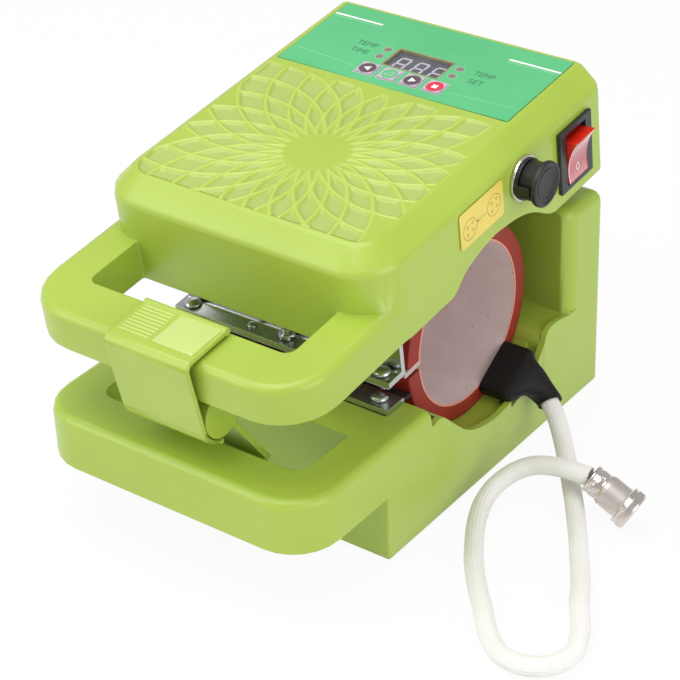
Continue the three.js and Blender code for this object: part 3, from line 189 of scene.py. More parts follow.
def ovalRing(x, y, reachX, reachY, stroke, low, high):
    # the frame between an ellipse and one that is a stroke smaller
    return band(ellipse(x, y, reachX, reachY), ellipse(x, y, reachX - stroke, reachY - stroke), low, high)


def onSide(shell):
    # a plate drawn in (y, z) with its height along x
    points, faces = shell
    return points[:, [2, 0, 1]], faces


def linked(name, data):
    # a new object in the scene
    thing = bpy.data.objects.new(name, data)
    bpy.context.scene.collection.objects.link(thing)
    return thing


def settled(name, mesh, body, node):
    # the mesh in the scene on its body, in place of its node if it has one
    piece = linked(name, mesh)
    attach(piece, body)
    if node:
        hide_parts(node)
    return piece


def putMesh(name, shell, body, node=None, slot=None, material=None, smooth=40, uv=None):
    # a piece from points and faces, given in the lid's level frame unless it rides on the base; one that
    # replaces a node hides it, and the finish is that of the given slot, else the node's, unless another is
    # given
    points, faces = shell
    mesh = bpy.data.meshes.new(name)
    place = bodyPlace if body == "base" else lidPlace
    mesh.from_pydata(place(points).tolist(), [], [tuple(int(i) for i in face) for face in faces])
    if uv is not None:
        layer = mesh.uv_layers.new(name="length")
        corner = np.zeros(len(mesh.loops), np.int32)
        mesh.loops.foreach_get("vertex_index", corner)
        layer.data.foreach_set("uv", np.asarray(uv, np.float32)[corner].ravel())
    tidyMesh(mesh, True, smooth)
    slot = slot or slotOf[node]
    mesh.materials.append(material or finish[slot])
    return settled(name, mesh, body, node)


def tidyMesh(mesh, solidFix, smooth, flat=0.0):
    # equal points made one, faces within the flat angle made one, and edges sharp above the smooth angle
    work = bmesh.new()
    work.from_mesh(mesh)
    bmesh.ops.remove_doubles(work, verts=work.verts, dist=2e-6)
    if flat:
        bmesh.ops.dissolve_limit(work, angle_limit=math.radians(flat), verts=work.verts, edges=work.edges)
    if solidFix:
        bmesh.ops.recalc_face_normals(work, faces=work.faces)
    work.to_mesh(mesh)
    work.free()
    mesh.shade_smooth()
    mesh.set_sharp_from_angle(angle=math.radians(smooth))


def evenNormals(piece):
    # large faces keep their own direction and the small ones between them take up the turn
    modifier = piece.modifiers.new("weightedNormals", "WEIGHTED_NORMAL")
    modifier.mode, modifier.weight, modifier.keep_sharp = "FACE_AREA", 100, True


def mergedCopy(node, material, flat, smooth=32):
    # the node's own triangles, tidied and shaded smooth, in place of the node
    mesh = nodes[node].data.copy()
    mesh.name = node + "Smooth"
    mesh.materials.clear()
    mesh.materials.append(material)
    tidyMesh(mesh, False, smooth, flat)
    evenNormals(settled(node + "Smooth", mesh, nodes[node]["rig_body"], node))


slotOf = {part["node"]: part["material_slot"] for part in frame["record"]["subparts"]}


def linear(code):
    # sRGB hex to linear light: c / 12.92 below 0.04045, else ((c + 0.055) / 1.055) ^ 2.4
    parts = [int(code[i:i + 2], 16) / 255 for i in (1, 3, 5)]
    return tuple(c / 12.92 if c <= 0.04045 else ((c + 0.055) / 1.055) ** 2.4 for c in parts) + (1.0,)


def addNode(tree, kind, links=None, **settings):
    # a node with its settings, or its sockets' constants, and what feeds its inputs
    node = tree.nodes.new("ShaderNode" + kind)
    for key, value in settings.items():
        if hasattr(node, key):
            setattr(node, key, value)
        else:
            node.inputs[key.replace("_", " ")].default_value = value
    for key, source in (links or {}).items():
        tree.links.new(source, node.inputs[key])
    return node


def perMm(size):
    # the texture scale on metre coordinates that gives a cell of that many millimetres
    return 1000 / size


def newMaterial(name, **shader):
    # a principled surface with constants on its own sockets; returns material, tree, shader and coordinates
    material = bpy.data.materials.new(name)
    material.use_nodes = True
    tree = material.node_tree
    tree.nodes.clear()
    out = addNode(tree, "OutputMaterial")
    surface = addNode(tree, "BsdfPrincipled", **shader)
    tree.links.new(surface.outputs[0], out.inputs[0])
    where = addNode(tree, "TexCoord").outputs["Object"]
    return material, tree, surface, where


def feed(tree, node, **sources):
    # each output joined to the input of that name
    for key, source in sources.items():
        tree.links.new(source, node.inputs[key.replace("_", " ")])


def noise(tree, where, mm, detail=2.0, roughness=0.5):
    return addNode(tree, "TexNoise", {"Vector": where}, Scale=perMm(mm), Detail=detail,
                   Roughness=roughness).outputs["Fac"]


def stretched(tree, where, scale):
    return addNode(tree, "Mapping", {"Vector": where}, Scale=scale).outputs[0]


def ramp(tree, source, stops):
    # sRGB hex colours at their places along the source
    node = addNode(tree, "ValToRGB", {"Fac": source})
    bar = node.color_ramp
    for end in (0, -1):
        bar.elements[end].position, bar.elements[end].color = stops[end][0], linear(stops[end][1])
    for place, code in stops[1:-1]:
        bar.elements.new(place).color = linear(code)
    return node.outputs["Color"]


def mixed(tree, share, colour, tint):
    # the colour, turned to the tint by the share
    mix = addNode(tree, "Mix", {"Factor": share, "A": colour}, data_type="RGBA", B=linear(tint))
    return mix.outputs["Result"]


def mapRange(tree, source, low, high):
    # 0 to 1 moved to low to high
    return addNode(tree, "MapRange", {"Value": source}, To_Min=low, To_Max=high).outputs["Result"]


def bumpOf(tree, height, mm, before=None):
    # the height input runs 0 to 1 and stands for that many millimetres
    links = {"Height": height}
    if before is not None:
        links["Normal"] = before
    return addNode(tree, "Bump", links, Strength=1.0, Distance=mm / 1000).outputs["Normal"]


def softEdge(tree, mm):
    return addNode(tree, "Bevel", samples=6, Radius=mm / 1000).outputs["Normal"]


def dressed(look, tints, tone, stops, dull, roughs, fine, deep, edge):
    # one noise moves the colour between two tints and one the roughness; one stands out over softened edges
    material, tree, surface = look[:3]
    feed(tree, surface, Base_Color=ramp(tree, tone, list(zip(stops, tints))),
         Roughness=mapRange(tree, dull, *roughs),
         Normal=bumpOf(tree, fine, deep, before=softEdge(tree, edge) if edge else None))
    return material


def moulded(name, dark, light, rough, edge=0.7, patch=60, grain=1.6, deep=0.003, **shader):
    # injection moulded plastic: slow colour drift over each patch, handling marks in the gloss, a fine grain
    # and softened edges; lengths in millimetres
    look = newMaterial(name, IOR=1.53, **shader)
    tree, where = look[1], look[3]
    return dressed(look, (dark, light), noise(tree, where, patch, 3), (0.3, 0.7),
                   noise(tree, where, patch / 4, 4, 0.6), (rough * 0.88, rough * 1.14),
                   noise(tree, where, grain, 2), deep, edge)


def rolledSteel(name, tints, rough, edge=0.3, streak=(0.25, 30, 30)):
    # plated sheet: faint rolling streaks along the bar and small dull patches
    look = newMaterial(name, Metallic=1.0, IOR=2.5)
    tree, where = look[1], look[3]
    streaks = noise(tree, stretched(tree, where, streak), 6, 5, 0.6)
    return dressed(look, tints, streaks, (0.25, 0.75), noise(tree, where, 9, 3), (rough * 0.7, rough * 1.4),
                   streaks, 0.01, edge)


def dullRubber(name, dark, light, rough, grain=0.5, deep=0.03, edge=0.4, **shader):
    # moulded rubber: fine matt grain, slow bloom and rounded edges
    look = newMaterial(name, IOR=1.5, **shader)
    tree, where = look[1], look[3]
    bloom = noise(tree, where, 14, 4)
    return dressed(look, (dark, light), bloom, (0.3, 0.72), bloom, (rough * 0.85, rough * 1.15),
                   noise(tree, where, grain, 3), deep, edge)


def linerCloth():
    # release-coated cloth: a fine plain weave, faint blotches and small dark specks
    material, tree, surface, where = newMaterial("coatedLinerCloth", IOR=1.45, Sheen_Weight=0.15)
    blotch = noise(tree, where, 12, 4)
    colour = ramp(tree, blotch, [(0.3, "#d2bcbb"), (0.7, "#dbc7c6")])
    cells, weave = [addNode(tree, "TexVoronoi", {"Vector": where}, Scale=perMm(mm)).outputs["Distance"]
                    for mm in (7.5, 0.55)]
    speck = ramp(tree, cells, [(0.035, "#ffffff"), (0.06, "#000000")])
    feed(tree, surface, Base_Color=mixed(tree, speck, colour, "#6e5854"),
         Roughness=mapRange(tree, blotch, 0.62, 0.78), Normal=bumpOf(tree, weave, 0.03))
    return material


def sleeveCloth():
    # woven glass sleeve on the cord's own map: u runs round the sleeve, v along it in millimetres
    material, tree, surface, where = newMaterial(
        "whiteGlassSleeve", IOR=1.5, Roughness=0.72, Sheen_Weight=0.25)
    place = addNode(tree, "UVMap", uv_map="length").outputs["UV"]
    yarns = addNode(tree, "TexWave", {"Vector": stretched(tree, place, (36.0, 0.12, 1.0))}, wave_type="BANDS",
                    bands_direction="X", Scale=0.5, Distortion=0.6, Detail=2.0).outputs["Fac"]
    picks = noise(tree, stretched(tree, place, (3.0, 1.3, 1.0)), 1000, 3)
    stain = noise(tree, where, 40, 3)
    feed(tree, surface, Base_Color=ramp(tree, stain, [(0.3, "#efece6"), (0.7, "#f8f6f3")]),
         Normal=bumpOf(tree, picks, 0.06, before=bumpOf(tree, yarns, 0.12)))
    return material


def onOwnMap(material):
    # the material's tree, its shader and the two numbers of its piece's own map
    tree = material.node_tree
    surface = next(node for node in tree.nodes if node.type == "BSDF_PRINCIPLED")
    place = addNode(tree, "UVMap", uv_map="length").outputs["UV"]
    return tree, surface, addNode(tree, "SeparateXYZ", {"Vector": place}).outputs


def reliefPlastic():
    # the gloss plastic on the relief, brighter on its rims by its map's u as a painted highlight, and greyer
    # on its floors by v
    material = moulded("limeGlossAbsRelief", edge=0, **limeLook)
    tree, surface, part = onOwnMap(material)
    for axis, share, tint in (("Y", 0.7, "#a8b867"), ("X", 0.6, "#bdd266")):
        below = surface.inputs["Base Color"].links[0].from_socket
        feed(tree, surface, Base_Color=mixed(tree, mapRange(tree, part[axis], 0.0, share), below, tint))
    return material


def pinkFace():
    # the rocker's front: pale at the tip, deep below it and pale again at the toe along its map's u
    material = moulded("pinkRockerFace", "#b8434c", "#c04a53", 0.2, edge=0, patch=9, Coat_Weight=0.5)
    tree, surface, part = onOwnMap(material)
    stops = [(0.05, "#dfa9aa"), (0.4, "#b04650"), (0.75, "#b85860"), (1.0, "#cf8f92")]
    feed(tree, surface, Base_Color=ramp(tree, part["X"], stops))
    return material


def ink(name, dark, light, rough=0.42):
    return moulded(name, dark, light, rough, edge=0, patch=8)


# plastics: name, dark, light, roughness, edge, patch, grain and depth of the grain
limeLook = {"dark": "#a0b83e", "light": "#a7bf46", "rough": 0.37, "Coat_Weight": 0.18, "Coat_Roughness": 0.22}

finish = {
    "lime_abs": moulded("limeGlossAbs", edge=0.9, **limeLook),
    "zinc_plated_steel": rolledSteel("zincPlatedSteel", ("#a9adab", "#d9dcda"), 0.24),
    "nickel_plated_brass": rolledSteel("nickelPlatedBrass", ("#c9bfb8", "#e0d8d2"), 0.2, streak=(1, 1, 1)),
    "red_silicone_rubber": dullRubber("redSilicone", "#891f12", "#97291a", 0.6, grain=1.2, deep=0.05),
    "coated_liner_cloth": linerCloth(),
    "black_rubber": dullRubber("blackRubber", "#131314", "#1d1d1e", 0.46),
    "black_nylon": moulded("blackNylon", "#1d1f23", "#2b2e33", 0.42, 0.4, 12, 0.4, 0.02),
    "white_braided_sleeve": sleeveCloth(),
    "green_polyester_film": moulded("greenPrintedFilm", "#50b173", "#58ba7b", 0.34, 0.15, 40, 0.5, 0.006),
    "dark_acrylic_window": moulded("darkAcrylicWindow", "#4c4f56", "#5a5d64", 0.12, 0.1, 9, 2, 0.002),
    "dark_key_film": moulded("darkKeyFilm", "#55434a", "#5d4a50", 0.4, 0.1, 5, 0.4, 0.006),
    "red_key_film": moulded("redKeyFilm", "#d3233f", "#df2d4a", 0.4, 0.1, 5, 0.4, 0.006),
    "clear_lamp_epoxy": moulded("clearLampEpoxy", "#75705a", "#86806a", 0.16, 0.1, 2, 0.4, 0.004,
                                Coat_Weight=0.6),
    "circuit_board_laminate": moulded("greenBoardLaminate", "#1f5c2f", "#2c6e3b", 0.4, 0.1, 8, 0.6, 0.01),
    "red_polycarbonate": moulded("redPolycarbonate", "#d2200f", "#de2c18", 0.16, 0.4, 9, 0.8, 0.006,
                                 Coat_Weight=0.5),
    "yellow_label_film": moulded("yellowLabelFilm", "#dfc957", "#e6d062", 0.42, 0.1, 20, 0.5, 0.006),
}

# the strap's ribs and pad: the same lime painted lighter, a painted highlight on the raised relief
limePaintedHighlight = moulded("limeGlossAbsPaintedHighlight", "#bccf72", "#c2d47a", 0.24, edge=0, Coat_Weight=0.35,
                   Coat_Roughness=0.12)
limeFlat = moulded("limeGlossAbsWall", edge=0, **limeLook)
limeRelief = reliefPlastic()
rockerPink = pinkFace()
bootRubber = dullRubber("blackBootRubber", "#0a0808", "#100d0d", 0.6, deep=0.02, Specular_IOR_Level=0.3)
salmonEdge = dullRubber("salmonLinerEdge", "#d98f80", "#e39c8d", 0.6, edge=0)
tongueCloth = dullRubber("mauveTongueCloth", "#b9a3a2", "#c6b1b0", 0.7, edge=0.2)
# the lower tongue: liner cloth painted near black as the shade under the lower bar
paintedShadeCloth = dullRubber("paintedShadeTailCloth", "#221d1d", "#2e2827", 0.7, edge=0.2)
brightNickel = rolledSteel("brightNickel", ("#cdc3bc", "#e3dbd6"), 0.14, edge=0.1, streak=(1, 1, 1))
nickelSatin = rolledSteel("satinNickel", ("#cfc6c0", "#ddd5d0"), 0.42, edge=0.1, streak=(1, 1, 1))
paleInk = ink("paleLilacInk", "#b3a9b4", "#beb5bf")
whiteInk = ink("whiteInk", "#e4e6e2", "#eeefec")
wordInk = ink("darkGreenInk", "#2c6b49", "#347553")
lineInk = ink("faintLineInk", "#8fce9a", "#97d4a2")
labelInk = ink("brownLabelInk", "#6d5a22", "#776430", 0.5)
rimTan = ink("tanWindowRim", "#8d8660", "#98916b", 0.4)
print("materials ready")

camera = {
    "place": (533.4, -569.6, 601.0), "lens": 118.285,
    "right": (0.80627, 0.59058, -0.03379), "down": (0.29027, -0.44475, -0.84731),
    "forward": (-0.51543, 0.67335, -0.53002),
}


def setCamera():
    # the columns of its matrix are the photograph's right, up and back
    eye = bpy.data.cameras.new("photoCamera")
    eye.lens, eye.sensor_width, eye.sensor_fit = camera["lens"], 36.0, "HORIZONTAL"
    eye.clip_start, eye.clip_end = 0.02, 20.0
    holder = linked("photoCamera", eye)
    matrix = np.eye(4)
    matrix[:3, :3] = np.array([camera["right"], -np.array(camera["down"]), -np.array(camera["forward"])]).T
    matrix[:3, 3] = bodyPlace(camera["place"])
    holder.matrix_world = Matrix(matrix.tolist())
    bpy.context.scene.camera = holder


def whiteToCamera(tree):
    # 1 for rays from the camera and for mirror and glass rays, which see plain white, and 0 for the others
    seen = addNode(tree, "LightPath").outputs
    most = seen["Is Camera Ray"]
    for ray in ("Is Glossy Ray", "Is Transmission Ray"):
        most = addNode(tree, "Math", {0: most, 1: seen[ray]}, operation="MAXIMUM").outputs[0]
    return most


def mixShaders(tree, out, share, first, second):
    # the first shader, and by the share the second
    blend = addNode(tree, "MixShader", {0: share, 1: first.outputs[0], 2: second.outputs[0]})
    tree.links.new(blend.outputs[0], out.inputs[0])


def makeStage():
    # a wide pale floor just under the feet, and a studio world that the camera sees as white
    reach, white = stage["reach"], (1, 1, 1, 1)
    floor = bpy.data.meshes.new("floor")
    corners = atHeight(rect(-reach, reach, -reach, reach), -stage["drop"])
    floor.from_pydata(corners.tolist(), [], [(0, 1, 2, 3)])
    ground = linked("floor", floor)
    material, tree, surface = newMaterial("palePaper", Roughness=0.9, Base_Color=stage["paper"])[:3]
    glow = addNode(tree, "Emission", Color=white, Strength=stage["floorGlow"])
    part = addNode(tree, "Math", {0: whiteToCamera(tree)}, operation="MULTIPLY")
    part.inputs[1].default_value = stage["floorWhite"]
    out = next(node for node in tree.nodes if node.type == "OUTPUT_MATERIAL")
    mixShaders(tree, out, part.outputs[0], surface, glow)
    floor.materials.append(material)
    world = bpy.data.worlds.new("studio")
    bpy.context.scene.world = world
    world.use_nodes = True
    tree = world.node_tree
    tree.nodes.clear()
    light, plain = [addNode(tree, "Background", Color=white, Strength=strength)
                    for strength in (stage["worldLight"], 1.0)]
    mixShaders(tree, addNode(tree, "OutputWorld"), addNode(tree, "LightPath").outputs["Is Camera Ray"], light,
               plain)


def areaLight(name, place, target, size, watts):
    # a rectangle of light that looks at its target
    lamp = bpy.data.lights.new(name, "AREA")
    lamp.shape, lamp.size, lamp.size_y, lamp.energy = "RECTANGLE", size[0], size[1], watts
    holder = linked(name, lamp)
    holder.location = place
    holder.rotation_euler = (Vector(target) - Vector(place)).to_track_quat("-Z", "Y").to_euler()


stage = {
    "worldLight": 0.55, "floorGlow": 1.0, "floorWhite": 0.93, "reach": 4.0, "drop": 0.0004,
    "paper": (0.86, 0.86, 0.86, 1),
}
bpy.context.scene.view_settings.view_transform = "Standard"
setCamera()
makeStage()
areaLight("overheadSoftbox", (-0.15, -0.25, 1.15), (0.0, 0.0, 0.1), (1.1, 0.9), 9.0)
areaLight("frontSoftbox", (-0.9, -1.1, 0.75), (0.0, -0.05, 0.08), (0.9, 0.9), 6.6)
areaLight("sideSoftbox", (1.25, -0.2, 0.5), (0.0, 0.0, 0.08), (0.9, 0.8), 6.4)
print("camera and studio set")

cord = {
    "diameter": 8.6, "step": 0.9, "around": 80, "ribs": 18, "rib": 0.2, "twist": 60, "inset": 0.16,
    "drift": (0.04, 17), "wave": (0.03, 3, 23),
    "path": [
        (86.5, 171.2, 26.4), (93.5, 166.7, 21.3), (99.9, 161.2, 16.4), (106.1, 154.7, 12.4),
        (112.2, 147.7, 9.3), (118.1, 140.3, 7.1), (124.0, 132.6, 5.7), (129.7, 124.7, 5.0),
        (135.3, 116.7, 4.7), (140.8, 108.6, 4.6), (146.1, 100.4, 4.6), (151.5, 92.2, 4.6),
        (156.6, 83.9, 4.6), (162.3, 73.4, 4.6), (168.2, 64.6, 4.6), (173.0, 55.8, 4.6), (176.3, 45.4, 4.6),
        (173.3, 34.6, 4.6), (164.1, 27.8, 4.6), (152.9, 27.9, 4.6), (143.0, 34.4, 4.6), (136.2, 41.4, 4.6),
        (130.1, 48.7, 4.6), (122.1, 57.4, 4.6), (114.4, 66.6, 4.6), (108.0, 75.2, 4.6), (102.4, 84.1, 4.6),
        (97.4, 92.5, 4.8), (93.2, 101.3, 5.3), (90.2, 110.5, 6.7), (90.0, 119.8, 9.4), (93.8, 127.7, 13.4),
        (101.1, 132.8, 17.4), (110.3, 134.4, 20.1), (119.9, 134.9, 21.4), (129.6, 136.3, 20.6),
    ],
}


def smoothPath(points, per=24):
    # centripetal Catmull-Rom: each span runs between knots spaced by the root of the chord
    points = np.asarray(points, float)
    first, last = 2 * points[0] - points[1], 2 * points[-1] - points[-2]
    p = np.vstack([first, points, last])
    gap = np.sqrt(np.linalg.norm(np.diff(p, axis=0), axis=1))
    p0, p1, p2, p3 = p[:-3, None], p[1:-2, None], p[2:-1, None], p[3:, None]
    g0, g1, g2 = gap[:-2, None, None], gap[1:-1, None, None], gap[2:, None, None]
    t = np.linspace(0, 1, per, endpoint=False)[None, :, None] * g1
    a1 = p0 * (-t) / g0 + p1 * (t + g0) / g0
    a2 = p1 * (g1 - t) / g1 + p2 * t / g1
    a3 = p2 * (g1 + g2 - t) / g2 + p3 * (t - g1) / g2
    b1 = a1 * (g1 - t) / (g0 + g1) + a2 * (t + g0) / (g0 + g1)
    b2 = a2 * (g1 + g2 - t) / (g1 + g2) + a3 * t / (g1 + g2)
    curve = b1 * (g1 - t) / g1 + b2 * t / g1
    return np.vstack([curve.reshape(-1, points.shape[1]), points[-1]])


def evenly(points, step):
    # the same line with points a fixed length apart, and that length
    run = np.concatenate([[0], np.cumsum(np.linalg.norm(np.diff(points, axis=0), axis=1))])
    count = int(round(run[-1] / step)) + 1
    at = np.linspace(0, run[-1], count)
    return np.stack([np.interp(at, run, points[:, i]) for i in range(3)], -1), at


def alongPath(points):
    # at each point a level side vector, up cross tangent, and the tangent cross that
    tangent = unit(np.gradient(points, axis=0))
    side = unit(np.cross([0.0, 0.0, 1.0], tangent))
    return side, np.cross(tangent, side)


def makeCord(cordPieces):
    # ring j at length s: centre + r(a, s) (cos a * side + sin a * top), r a hair in and out with the yarns
    line, at = evenly(smoothPath(cord["path"]), cord["step"])
    side, top = alongPath(line)
    angle, along = roundAngles(cord["around"]), at[:, None]
    (drift, driftLong), (wave, waves, waveLong) = cord["drift"], cord["wave"]
    swell = drift * np.sin(along / driftLong) + wave * np.sin(waves * angle + along / waveLong)
    swell = swell + cord["rib"] * np.abs(np.sin(cord["ribs"] / 2 * angle + along / cord["twist"]))
    reach = (cord["diameter"] / 2 - cord["inset"] + swell)[..., None]
    across, over = np.cos(angle)[:, None] * side[:, None], np.sin(angle)[:, None] * top[:, None]
    rings = line[:, None] + reach * (across + over)
    seam = np.concatenate([rings, rings[:, :1]], 1)
    rows, columns = seam.shape[:2]
    uv = np.stack(np.broadcast_arrays(np.arange(columns) / (columns - 1), along), -1).reshape(-1, 2)
    faces = gridFaces(rows, columns)
    faces += [range(columns - 1)[::-1], range((rows - 1) * columns, rows * columns - 1)]
    piece = putMesh("heaterCord", (seam.reshape(-1, 3), faces), "base", "heater_cable", smooth=60, uv=uv)


rosette = {
    "centre": (2.84, 117.53), "reachX": 56.3, "reachY": 54.4, "rays": 24, "disc": 13.0, "fade": 4.0,
    "rim": 0.55, "rimWide": 0.62, "rimHigh": 0.34, "wall": 1.5, "depth": 0.95, "corner": 0.8, "sides": 61.5,
    "front": 66.5, "rear": 169.0, "stop": 170.75, "edge": 0.9, "top": 170.517, "pocket": 1.9, "split": 174.6,
    "step": 0.42, "rimFlat": 1.0, "lap": 0.6, "proud": 0.015, "near": 0.03, "border": 0.8, "apart": 0.15,
    "skirt": 1.8,
}


def petalUsed(rayA, rayB):
    # a cell between circles A, A + 1 and B, B + 1: its middle lies at angle (A + B + 1) pi / rays, as far out
    # as the circles through the centre reach there, 2 R cos((B - A) pi / rays); one past the edges isn't used
    share = math.pi / rosette["rays"]
    angle, out = (rayA + rayB + 1) * share, 2 * np.cos((rayB - rayA) * share)
    x = rosette["centre"][0] + rosette["reachX"] * out * np.cos(angle)
    y = rosette["centre"][1] + rosette["reachY"] * out * np.sin(angle)
    return (np.abs(x) < rosette["sides"]) & (y > rosette["front"]) & (y < rosette["rear"])


def smoothStep(t):
    # 3 t^2 - 2 t^3 between 0 and 1
    t = np.clip(t, 0, 1)
    return t * t * (3 - 2 * t)


def rosetteHeight(x, y):
    # two families of equal circles through the centre cross in petals: each petal is dished by a smooth step
    # of the distance to the nearest circle, its corners rounded by the soft least -k ln(e^(-a/k) + e^(-b/k)),
    # and the circles stand up as thin rims; also returns how much of a rim and of a floor each point is
    reachX, reachY, soft, wide = (rosette[key] for key in ("reachX", "reachY", "corner", "rimWide"))
    dx, dy = (x - rosette["centre"][0]) / reachX, (y - rosette["centre"][1]) / reachY
    out = np.clip(np.hypot(dx, dy), 1e-6, 1.98)
    angle, spread = np.arctan2(dy, dx), np.arccos(out / 2)
    turn = 2 * math.pi / rosette["rays"]
    a, b = (angle - spread) / turn, (angle + spread) / turn
    rayA, rayB = np.floor(a), np.floor(b)
    partA, partB = a - rayA, b - rayB
    across = turn * out * np.sqrt(1 - (out / 2) ** 2) * (reachX + reachY) / 2
    nearA, nearB = np.minimum(partA, 1 - partA) * across, np.minimum(partB, 1 - partB) * across
    nextA, nextB = rayA + np.where(partA > 0.5, 1, -1), rayB + np.where(partB > 0.5, 1, -1)
    used = petalUsed(rayA, rayB)
    sides = used | petalUsed(nextA, rayB), used | petalUsed(rayA, nextB)
    dish = smoothStep((-soft * np.logaddexp(-nearA / soft, -nearB / soft) - rosette["rim"]) / rosette["wall"])
    rim = np.maximum(*(np.where(side, np.exp(-(near / wide) ** 2), 0)
                       for side, near in zip(sides, (nearA, nearB))))
    share = smoothStep((out * (reachX + reachY) / 2 - rosette["disc"]) / rosette["fade"])
    share = share * np.clip((rosette["stop"] - y) / rosette["edge"], 0, 1)
    height = rosette["rimHigh"] * rim - rosette["depth"] * dish * used
    return share * height, share * rim, share * dish * used


def lidLevel(points):
    # metres in the shared frame back to the level lid's millimetres
    body = np.asarray(points, float) * 1000 - shift
    y, z = lidPoint(body[..., 1], body[..., 2])
    return np.stack([body[..., 0], y, z], -1)


def sinkTop(piece):
    # the flat top in front of the panel sinks by the pocket's depth; returns its outline as (y, half width)
    work = bmesh.new()
    work.from_mesh(piece.data)

    def levelled():
        work.verts.index_update()
        level = lidLevel([v.co for v in work.verts])
        return level, np.abs(level[:, 2] - rosette["top"]) < rosette["near"]

    level, flat = levelled()
    top = [f for f in work.faces if all(flat[v.index] for v in f.verts)]
    cut = lidPlace((0.0, rosette["split"], rosette["top"]))
    geometry = set(top) | {e for f in top for e in f.edges} | {v for f in top for v in f.verts}
    bmesh.ops.bisect_plane(
        work, geom=list(geometry), dist=1e-7, plane_co=cut, plane_no=(0.0, tiltCos, tiltSin))
    level, flat = levelled()
    front = [f for f in work.faces if all(flat[v.index] for v in f.verts)
             and max(level[v.index][1] for v in f.verts) < rosette["split"] + 0.01]
    bmesh.ops.inset_region(work, faces=front, thickness=rosette["rimFlat"] / 1000, use_even_offset=True)
    level, _ = levelled()
    chosen = set(front)
    rim = [e for f in front for e in f.edges if sum(g in chosen for g in e.link_faces) == 1]
    line = np.array([level[v.index][:2] for e in rim for v in e.verts])
    grown = bmesh.ops.extrude_face_region(work, geom=front, use_keep_orig=False)
    moved = [g for g in grown["geom"] if isinstance(g, bmesh.types.BMVert)]
    down = [-c * rosette["pocket"] / 1000 for c in (0.0, -tiltSin, tiltCos)]
    bmesh.ops.translate(work, verts=moved, vec=down)
    bmesh.ops.delete(work, geom=[f for f in front if f.is_valid], context="FACES_ONLY")
    work.to_mesh(piece.data)
    work.free()
    rows = np.unique(np.round(line[:, 1], 3))
    return rows, np.array([np.abs(line[np.abs(line[:, 1] - y) < 0.01, 0]).max() for y in rows])


def makeRosette(housing):
    # x = t w(y) on rows y, t from -1 to 1, so that the grid laps over the pocket's own outline
    edgeY, edgeHalf = sinkTop(housing)
    lap, step = rosette["lap"], rosette["step"]
    edgeHalf = edgeHalf + lap
    edgeY[0], edgeY[-1] = edgeY[0] - lap, edgeY[-1] + lap
    fill = np.arange(edgeY[0], edgeY[-1], step)
    fill = fill[np.abs(fill[:, None] - edgeY).min(1) > rosette["apart"]]
    y = np.unique(np.round(np.concatenate([edgeY, fill]), 4))
    half = np.interp(y, edgeY, edgeHalf)[:, None]
    rows, columns = len(y), int(2 * edgeHalf.max() / step)
    x = np.linspace(-1, 1, columns)[None] * half
    place = np.broadcast_to(y[:, None], x.shape)
    inside = np.minimum(half - np.abs(x), np.minimum(place - y[0], y[-1] - place))
    height, rim, floor = rosetteHeight(x, place)
    height = height * np.clip(inside / rosette["border"], 0, 1)
    top = np.stack([x, place, rosette["top"] + rosette["proud"] + height], -1).reshape(-1, 3)
    count, last = rows * columns, (rows - 1) * columns
    ring = np.concatenate([
        np.arange(columns), columns * np.arange(1, rows) + columns - 1,
        last + np.arange(columns - 2, -1, -1), columns * np.arange(rows - 2, 0, -1)])
    low = top[ring] - [0, 0, rosette["skirt"]]
    around = count + np.arange(len(ring))
    wall = np.stack([ring, around, np.roll(around, -1), np.roll(ring, -1)], -1)
    faces = gridFaces(rows, columns) + wall.tolist() + [around.tolist()]
    # the rim share, which carries the painted highlight on the rims, goes to the map's u and the floor share
    # to v
    tone = np.stack([np.concatenate([part.ravel(), np.zeros(len(low))]) for part in (rim, floor)], -1)
    putMesh("lidRosette", (np.concatenate([top, low]), faces), "lid", slot="lime_abs", material=limeRelief,
            smooth=60, uv=tone)


def onPanel(name, shells, material=None, body="lid", slot="green_polyester_film"):
    putMesh(name, joined(*shells), body, slot=slot, material=material, smooth=30)


panelPrint = {
    "top": 170.717, "ink": 0.04, "sink": 0.02, "bars": ((-62.4, -34.9, 221.4), (35.7, 63.2, 220.8)),
    "barHalf": 0.6, "barCorner": 0.3, "second": (1.9, 0.16),
    "lines": ((-60.5, 187.6, -24.9, 184.5), (27.6, 184.1, 60.1, 186.0)), "lineHalf": 0.13,
    "words": (("TEMP", -36.8, -25.5, 202.0, 205.5), ("TIME", -35.9, -26.2, 195.5, 198.9),
              ("TEMP", 27.9, 38.9, 202.0, 205.5), ("SET", 29.1, 37.0, 195.2, 198.9)),
    "window": (-14.7, 15.3, 191.6, 206.8), "sight": ((-14.2, 192.0), (14.9, 206.4)), "frame": (0.5, 0.3),
    "frameDeep": 0.1, "glass": 169.52, "digits": (-8.3, 1.5, 11.3), "digitWide": 6.3, "digitLow": 191.2,
    "digitHigh": 11.2, "stroke": 1.1, "slant": 0.08, "barGap": 1.2, "leastBar": 0.3,
    "lamps": ((-19.7, 203.5), (-19.7, 196.9), (20.3, 203.5), (20.3, 196.9)), "lamp": 1.75, "lampRim": 0.4,
    "keys": (-18.22, -5.87, 6.47, 18.83), "keyY": 185.2, "keyTop": 171.12, "disc": 4.1, "discHigh": 0.06,
    "pad": (5.15, 0.5), "cap": (4.6, 0.3), "signRim": 0.35, "signs": (0.03, 0.1),
}


